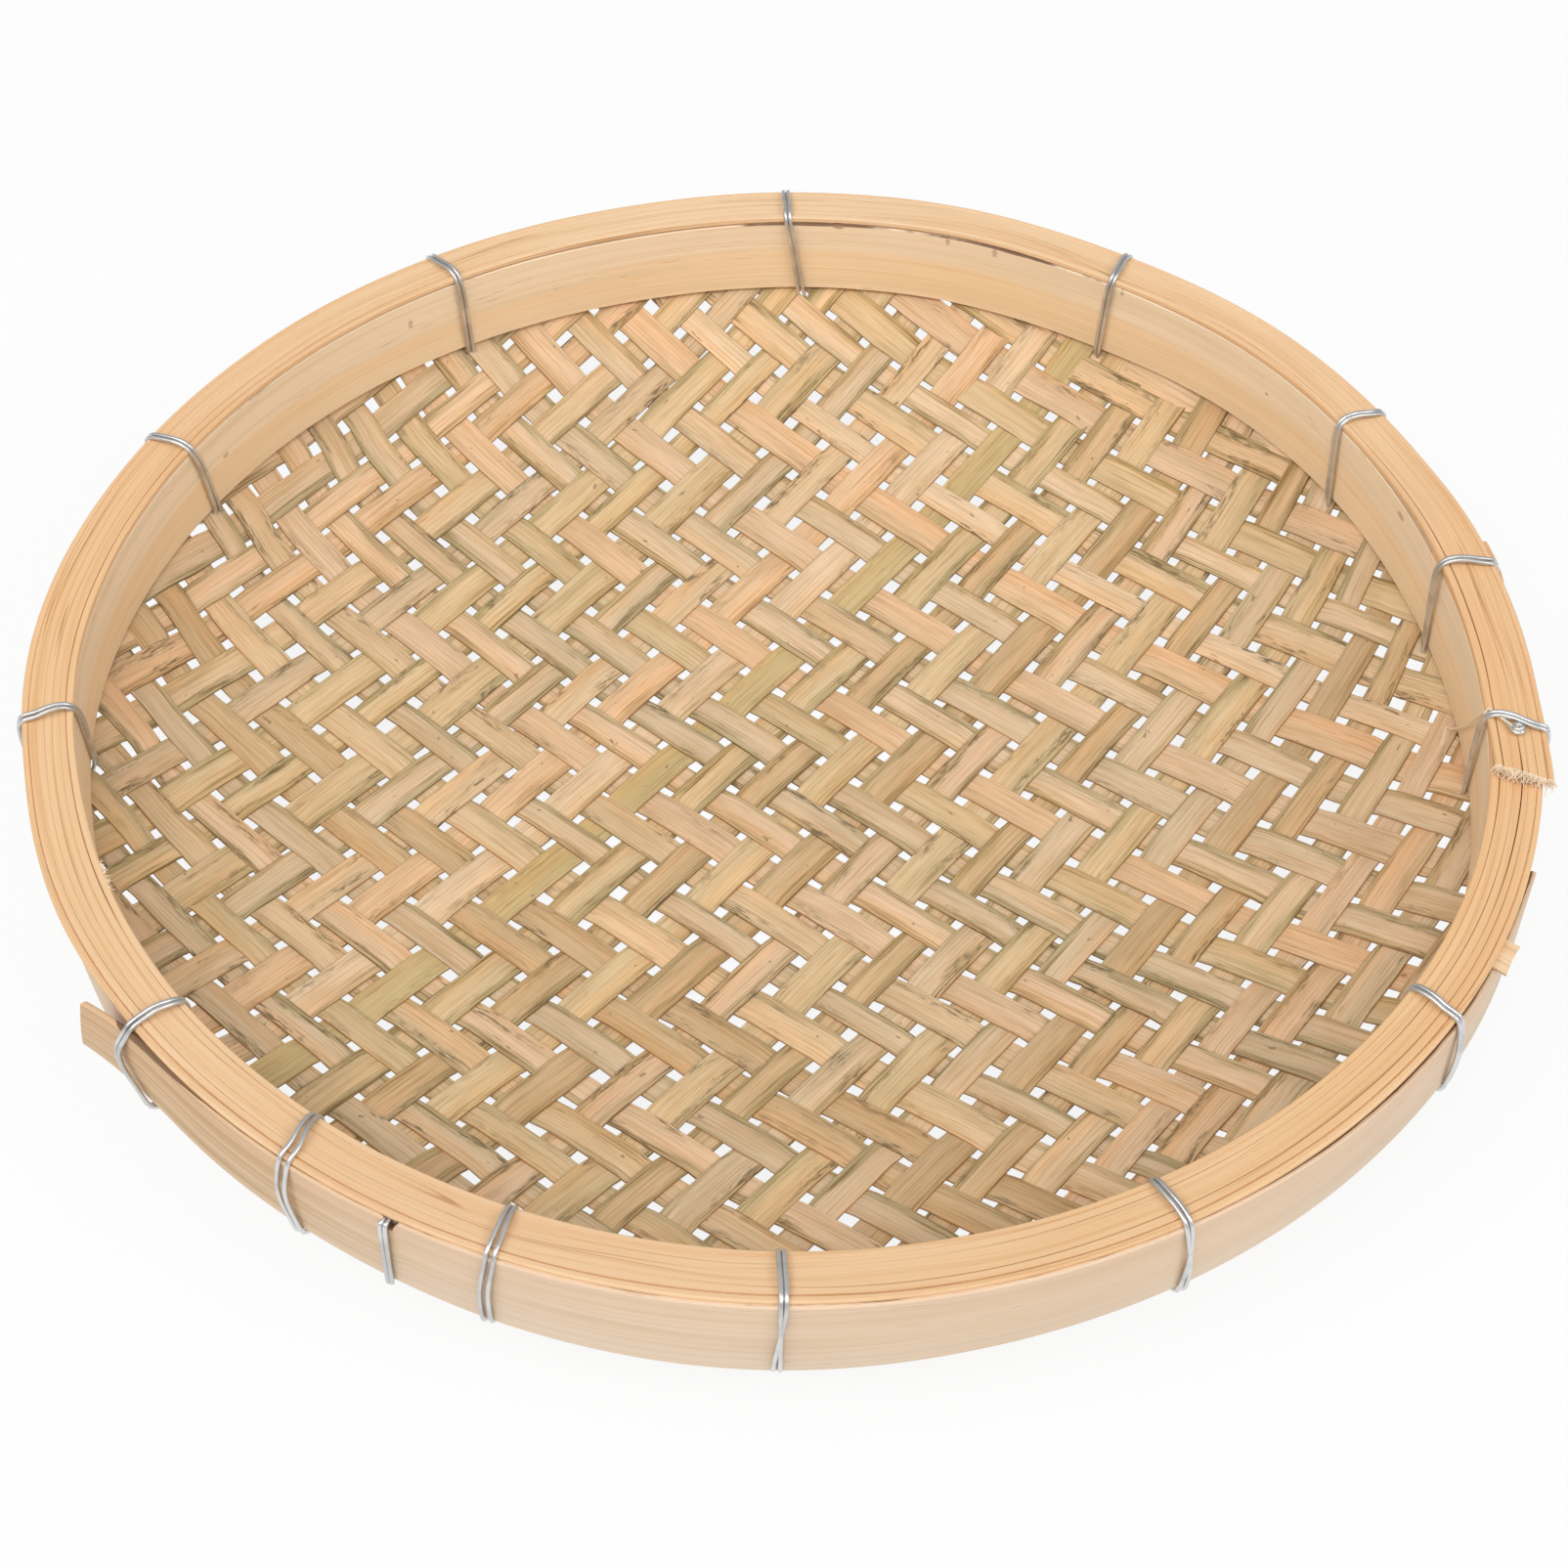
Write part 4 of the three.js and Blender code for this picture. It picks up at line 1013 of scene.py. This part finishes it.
def raise_fibre(bm, sawn, foot, lean, length):
    """A thin tapered fibre from its foot along a direction."""
    made = bmesh.ops.create_cone(
        bm, cap_ends=True, segments=4, radius1=FIBRE_RADIUS, radius2=FIBRE_TIP, depth=length
    )
    turn = lean.normalized().to_track_quat("Z", "Y").to_matrix()
    bmesh.ops.translate(bm, verts=made["verts"], vec=(0, 0, length / 2))
    bmesh.ops.rotate(bm, verts=made["verts"], cent=(0, 0, 0), matrix=turn)
    bmesh.ops.translate(bm, verts=made["verts"], vec=foot)
    for vert in made["verts"]:
        vert[sawn] = 1.0


def tear_fibres():
    """The fibres of the sawn end and the rubbed ones at the left."""
    bm, sawn = fibre_mesh()
    for number in range(FIBRE_COUNT):
        share = (number + dice.random()) / FIBRE_COUNT
        low = split_line(0, CAP_UPPER_END)[0]
        radius = low + (split_line(CAP_STRANDS, CAP_UPPER_END)[0] - low) * share
        level = dice.random()
        angle = math.radians(CAP_UPPER_END) + (SAWN_SLANT * level - SAWN_SKEW * share) / radius
        height = RIM_TOP + CAP_RISE - CAP_THICKNESS * (1 - level)
        foot = on_ring(angle + 0.0004 / radius, radius, height)
        outward, onward = rim_ways(angle)
        lean = onward + dice.uniform(-0.8, 0.8) * outward + Vector((0, 0, dice.uniform(-0.6, 0.5)))
        length = SHORT_FIBRE + (LONG_FIBRE - SHORT_FIBRE) * dice.random() ** FIBRE_SPREAD
        raise_fibre(bm, sawn, foot, lean, length)
    for _ in range(RUBBED_COUNT):
        degrees = dice.uniform(RUBBED_FROM, RUBBED_TO)
        angle = math.radians(degrees)
        foot = on_ring(angle, split_line(0, degrees)[0] + 0.0003, RIM_TOP - dice.uniform(0, 0.0008))
        outward, onward = rim_ways(angle)
        lean = dice.uniform(-1, 1) * onward - dice.uniform(0.2, 0.8) * outward
        lean += Vector((0, 0, dice.uniform(-0.3, 0.4)))
        raise_fibre(bm, sawn, foot, lean, dice.uniform(RUBBED_SHORT, RUBBED_LONG))
    bmesh.ops.recalc_face_normals(bm, faces=bm.faces)
    finish_piece("cap_sawn_fibres", bm, strand_material, "cap_bamboo")


tear_fibres()

# Splint end. One splint of the mat wasn't trimmed to the rim with the others. Its end is
# pinched between the outer hoop and the cap and sticks out flat at the right.
STRAY_ANGLE, STRAY_WIDTH, STRAY_THICKNESS = 331.45, 0.0076, 0.00045
STRAY_START, STRAY_END, STRAY_LEVEL = 0.1432, 0.1521, 0.04062
STRAY_RAGGED, STRAY_DROOP = 0.0004, 0.0006
STRAY_TONE = (0.93, 0.69, 0.46)


def lay_stray_end():
    """The end of that splint, ragged and drooping a little."""
    length = STRAY_END - STRAY_START
    bm = split_bamboo(length, STRAY_WIDTH, STRAY_THICKNESS, 8, 8, SPLINT_ROUNDING)
    across = bm.verts.layers.float.new("across")
    for vert in bm.verts:
        vert[across] = vert.co.y / (STRAY_WIDTH / 2)
    middle = math.radians(STRAY_ANGLE)
    outward, onward = rim_ways(middle)

    def place(x, y, z):
        ragged = x / length * STRAY_RAGGED * waver(131, y * 300)
        radius = STRAY_START + rim_sway(middle) + x + ragged
        droop = STRAY_DROOP * ease((x - 0.006) / 0.004)
        return radius * outward - y * onward + Vector((0, 0, STRAY_LEVEL + z - droop))

    bend(bm, place)
    piece = finish_piece("stray_splint_end", bm, straight_material, "straight_bamboo")
    write_tones(piece, STRAY_TONE, (0.0, 0.0, 0.0), 0.3)


lay_stray_end()


# Wire ties. Galvanised wire, about 0.9 mm thick, is passed twice round the whole rim and
# through the mat, drawn tight, and its ends are twisted off.
WIRE_RADIUS = 0.00045
TIE_TURNS = 2


def wire_material():
    """Zinc on steel wire, clouded here and there to a duller grey."""
    material, tree = fresh_material("galvanised_wire")
    place = add_node(tree, "ShaderNodeTexCoord").outputs["Object"]
    bloom = add_node(
        tree, "ShaderNodeTexNoise", {"Vector": place, "Scale": 160.0, "Detail": 2.0}
    ).outputs[0]
    colour = tint(
        tree, between(tree, bloom, 0.4, 0.65), (0.74, 0.74, 0.74, 1), (0.58, 0.58, 0.57, 1)
    )
    rough = add_node(
        tree, "ShaderNodeMapRange", {"Value": bloom, "To Min": 0.26, "To Max": 0.42}
    ).outputs[0]
    shader = add_node(
        tree, "ShaderNodeBsdfPrincipled",
        {"Base Color": colour, "Metallic": 0.88, "Roughness": rough},
    )
    add_node(tree, "ShaderNodeOutputMaterial", {"Surface": shader.outputs[0]})
    return material


galvanised = wire_material()


def bent_wire(name, points, *nodes):
    """A wire along a smooth line through its bends, with closed ends."""
    curve = bpy.data.curves.new(name, "CURVE")
    curve.dimensions = "3D"
    curve.bevel_depth = WIRE_RADIUS
    curve.bevel_resolution = 3
    curve.use_fill_caps = True
    line = curve.splines.new("NURBS")
    line.points.add(len(points) - 1)
    for knot, point in zip(line.points, points):
        knot.co = (*point, 1)
    line.order_u = 4
    line.use_endpoint_u = True
    line.resolution_u = 4
    drawn = bpy.data.objects.new(name, curve)
    bpy.context.scene.collection.objects.link(drawn)
    finished = drawn.evaluated_get(bpy.context.evaluated_depsgraph_get())
    solid = bpy.data.meshes.new_from_object(finished)
    bpy.data.objects.remove(drawn)
    bpy.data.curves.remove(curve)
    bm = bmesh.new()
    bm.from_mesh(solid)
    bpy.data.meshes.remove(solid)
    bmesh.ops.remove_doubles(bm, verts=bm.verts, dist=1e-7)
    bmesh.ops.recalc_face_normals(bm, faces=bm.faces)
    return finish_piece(name, bm, galvanised, "tie_wire", *nodes)


def lap_face(degrees):
    """How far the lap strip's face stands out at an angle, or 0 past its ends."""
    if not LAP_FREE_END - 1 < degrees < LAP_SAWN_END + 1:
        return 0.0
    return LAP_RADIUS + LAP_THICKNESS + lap_off(degrees)


def cap_top(degrees):
    """How high the cap's top lies at an angle."""
    turned = degrees - 360 if degrees > 180 else degrees
    return RIM_TOP + (cap_rise(turned) if turned > CAP_UPPER_END - 1 else 0.0)


# Each tie: its angle at the rim's outer and inner top edges and at its lower outer and inner
# ends, how far apart its two turns run at the top outside, top inside and below, and then how
# high it bulges over the cap and how far it stands off the wall, all in mm, and how far its
# outer leg swings aside, in degrees.
TIES = [
    (90.6, 90.4, 90.0, 88.8, 1.1, 1.0, 1.2, 0.4, 0.2, 0),
    (59.0, 58.6, 58.8, 59.3, 1.0, 0.9, 1.0, 0.5, 0.2, 0),
    (30.5, 31.1, 30.8, 30.4, 1.0, 0.9, 1.0, 0.8, 0.3, 0),
    (10.7, 11.3, 11.0, 10.8, 1.3, 0.9, 1.0, 1.0, 0.3, 0),
    (352.7, 353.6, 353.0, 354.1, 1.0, 0.95, 1.0, 1.0, 0.4, 0),
    (324.1, 324.6, 324.3, 324.0, 1.0, 1.0, 1.3, 1.0, 1.0, 0),
    (297.8, 297.5, 298.1, 297.6, 1.0, 1.0, -1.4, 0.8, 0.5, 0.2),
    (270.6, 270.4, 270.2, 270.4, 0.95, 0.95, -1.2, 0.6, 0.3, 0),
    (251.3, 251.2, 250.7, 251.0, 1.5, 1.0, 1.6, 0.8, 0.4, -0.3),
    (235.4, 234.7, 235.8, 235.0, 1.9, 1.2, 1.5, 1.0, 0.7, -0.7),
    (219.4, 219.7, 220.3, 219.5, 1.1, 1.0, 1.0, 1.5, 1.6, -2.0),
    (188.1, 187.3, 187.5, 184.8, 1.3, 1.0, 1.1, 1.0, 0.4, 0),
    (155.7, 155.6, 155.6, 153.4, 1.1, 1.0, 1.2, 0.8, 0.2, 0),
    (123.5, 122.9, 123.2, 122.2, 1.2, 1.0, 1.1, 0.5, 0.2, 0),
]
# How far the wire's middle lies off what it is drawn against, how far the tie stands clear of
# the inner hoop and of the cap's edges, and how far it goes below the mat and below the hoops.
SEAT = WIRE_RADIUS + 0.00006
CLEAR_INSIDE, CLEAR_CAP_IN, CLEAR_CAP_OUT = 0.0002, 0.0006, 0.0009
BELOW_MAT, BELOW_RIM = 0.0016, 0.0013


def cap_edges(degrees):
    """The radius of the cap's inner and outer edge at an angle."""
    turned = degrees - 360 if degrees > 360 + CAP_UPPER_END else degrees
    return split_line(0, turned)[0], split_line(CAP_STRANDS, turned)[0]


def wind_tie(index, angles):
    """A tie along the control points of its soft line: up inside, over the cap and down outside."""
    outer_top, inner_top, outer_low, inner_low, top_apart, in_apart, low_apart = angles[:7]
    bulge, stand, swing = angles[7:]
    cap_in, cap_out = cap_edges(outer_top)
    inside = INNER_RADIUS - SEAT - CLEAR_INSIDE
    low_outside = max(OUTER_RADIUS + OUTER_THICKNESS, lap_face(outer_low)) + SEAT
    shoulder = max(cap_out + CLEAR_CAP_OUT, lap_face(outer_top) + SEAT + 0.0001)
    # At the sides and the back the wire hugs the cap's inner edge, and at the back its outer one.
    hug = ease((math.sin(math.radians(inner_top)) + 0.6) / 0.6)
    far = ease(math.sin(math.radians(outer_top)) * 1.5 + 0.5)
    top = cap_top(outer_top) + SEAT
    below = mat_height(inside) - BELOW_MAT
    cap_middle = (cap_in + cap_out) / 2
    wall_middle = (shoulder + low_outside) / 2 + stand / 1000
    middle = (inner_top + outer_top) / 2
    low_middle = (outer_top + outer_low) / 2 + swing
    half_up = (RIM_BASE + top) / 2
    lip = cap_in - CLEAR_CAP_IN
    profile = [
        # under the mat, and up along the inner hoop
        (inner_low, inside, below, low_apart),
        (inner_low * 0.7 + inner_top * 0.3, inside - 0.0002, below * 0.7 + top * 0.3, low_apart),
        (inner_low * 0.3 + inner_top * 0.7, lip - 0.0006 * hug, top - 0.0055, in_apart),
        # round the cap's inner edge and over the cap
        (inner_top, lip - 0.0003 * hug, top - 0.0008 - 0.0004 * hug, in_apart),
        (inner_top, cap_in + 0.0010 + 0.0003 * hug, top + 0.0005 + 0.0005 * hug, in_apart),
        (middle, cap_middle, top + bulge / 1000, (in_apart + top_apart) / 2),
        # round its outer edge and down the wall
        (outer_top, cap_out - 0.0030, top + 0.0005, top_apart),
        (outer_top, cap_out + 0.0003 - 0.0002 * far, top + 0.0002 - 0.0002 * far, top_apart),
        (outer_top, shoulder, top - 0.0024, top_apart),
        (low_middle, wall_middle, half_up, (low_apart + top_apart) / 2),
        # round the lower edge of the hoops
        (outer_low, low_outside + 0.0002, RIM_BASE + 0.0030, low_apart),
        (outer_low, low_outside - 0.0001, RIM_BASE - 0.0009, low_apart),
        (outer_low, low_outside - 0.0030, RIM_BASE - BELOW_RIM, low_apart),
    ]
    points = []
    for turn in range(TIE_TURNS):
        for degrees, radius, height, apart in profile:
            turned = math.radians(degrees) + (turn - 0.5) * apart / 1000 / radius
            points.append(on_ring(turned, radius, height))
        if turn == 0:
            points.append(on_ring(math.radians(outer_low), COLLAR_RADIUS + 0.001, below))
    name = f"wire_tie_{index + 1:02d}"
    bent_wire(f"{name}_wire", points, name)


for index, angles in enumerate(TIES):
    wind_tie(index, angles)

# Curled end. One end of the fifth tie's wire is rolled up into a small eye that lies on the
# cap. Its points are an angle, and a radius and a height over the cap in mm.
EYE_MIDDLE, EYE_RADIUS, EYE_TURNS, EYE_STEPS = (352.2, 144.5), 1.15, 1.5, 8
EYE_START, EYE_WIDE, EYE_SHRINK, EYE_LEVEL, EYE_CLIMB = -0.9, 1.15, 0.05, 0.3, 0.07
eye_points = [(353.6, 140.6, 0.2), (353.3, 141.4, 0.2), (352.9, 142.6, 0.3)]
for step in range(int(EYE_TURNS * EYE_STEPS)):
    turned = 2 * math.pi * step / EYE_STEPS + EYE_START
    out = EYE_RADIUS * (EYE_WIDE - EYE_SHRINK * step)
    eye_points.append(
        (
            EYE_MIDDLE[0] - math.degrees(out * math.cos(turned) / EYE_MIDDLE[1]),
            EYE_MIDDLE[1] + out * math.sin(turned), EYE_LEVEL + EYE_CLIMB * step,
        )
    )
bent_wire(
    "wire_tie_05_curled_end",
    [
        on_ring(math.radians(angle), radius / 1000, cap_top(angle) + WIRE_RADIUS + up / 1000)
        for angle, radius, up in eye_points
    ],
)

# Loose fibre. A pale fibre of bamboo, torn off and caught in that tie, hangs over the inner
# hoop on to the mat. Its points are an angle, and a radius and a height over the table in mm.
LOOSE_FIBRE_RADIUS, LOOSE_FIBRE_SIDES = 0.00025, 6
LOOSE_POINTS = [
    (352.6, 145.2, 45.2), (352.2, 143.6, 45.6), (352.9, 142.0, 45.3), (353.5, 140.6, 45.2),
    (354.2, 139.3, 45.0), (354.0, 138.6, 44.0), (355.0, 138.4, 40.2), (357.5, 138.5, 31.0),
    (360.6, 138.2, 22.0), (361.5, 138.0, 20.4), (360.8, 137.2, 19.9), (359.6, 136.2, 19.6),
]


def lay_loose_fibre():
    """The fibre, in short straight lengths from point to point."""
    bm, sawn = fibre_mesh()
    places = [
        on_ring(math.radians(angle), radius / 1000, up / 1000)
        for angle, radius, up in LOOSE_POINTS
    ]
    for start, end in zip(places, places[1:]):
        run = end - start
        made = bmesh.ops.create_cone(
            bm, cap_ends=True, segments=LOOSE_FIBRE_SIDES, radius1=LOOSE_FIBRE_RADIUS,
            radius2=LOOSE_FIBRE_RADIUS, depth=run.length + LOOSE_FIBRE_RADIUS,
        )
        turn = run.normalized().to_track_quat("Z", "Y").to_matrix()
        bmesh.ops.rotate(bm, verts=made["verts"], cent=(0, 0, 0), matrix=turn)
        bmesh.ops.translate(bm, verts=made["verts"], vec=(start + end) / 2)
        for vert in made["verts"]:
            vert[sawn] = 1.0
    bmesh.ops.recalc_face_normals(bm, faces=bm.faces)
    finish_piece("loose_fibre", bm, strand_material, "cap_bamboo")


lay_loose_fibre()

# Small tie. A short doubled loop goes through a notch in the lap strip's top edge, down behind
# it and under its lower edge.
SMALL_TIE_ANGLE, SMALL_TIE_APART = 243.45, 0.00095
BEND_ROOM, BEND_SHARE, BEND_PUSH = 0.0022, 0.4, 0.0003
SMALL_TIE_CLEAR, SMALL_TIE_IN_NOTCH = 0.0001, 0.0011


def rounded(corners):
    """The control points of a wire that runs nearly straight between its soft bends."""
    points = []
    for before, corner, after in zip(corners, corners[1:], corners[2:]):
        back, onward = before - corner, after - corner
        room_back = min(BEND_ROOM, back.length * BEND_SHARE)
        room_on = min(BEND_ROOM, onward.length * BEND_SHARE)
        push = -BEND_PUSH * (back.normalized() + onward.normalized())
        points.append(corner + back.normalized() * room_back + push)
        points.append(corner + push)
        points.append(corner + onward.normalized() * room_on + push)
    return [corners[0], *points, corners[-1]]


def wind_small_tie():
    """Two turns over the notch, each up behind the lap strip and down in front of it."""
    inside = LAP_RADIUS - WIRE_RADIUS - SMALL_TIE_CLEAR
    outside = LAP_RADIUS + LAP_THICKNESS + WIRE_RADIUS + SMALL_TIE_CLEAR
    crest = LAP_TOP - SMALL_TIE_IN_NOTCH
    corners = []
    for turn in range(TIE_TURNS):
        side = (turn - 0.5) * SMALL_TIE_APART

        def spot(radius, height, shift):
            return on_ring(math.radians(SMALL_TIE_ANGLE) + (side + shift) / radius, radius, height)

        corners += [
            spot(inside, RIM_BASE - 0.0004, -0.001),
            spot(inside, crest, 0.0004),
            spot(outside, crest, 0.0004),
            spot(outside, RIM_BASE + 0.0004, side * -0.3),
        ]
    bent_wire("lap_tie_wire", rounded(corners), "lap_tie")


wind_small_tie()
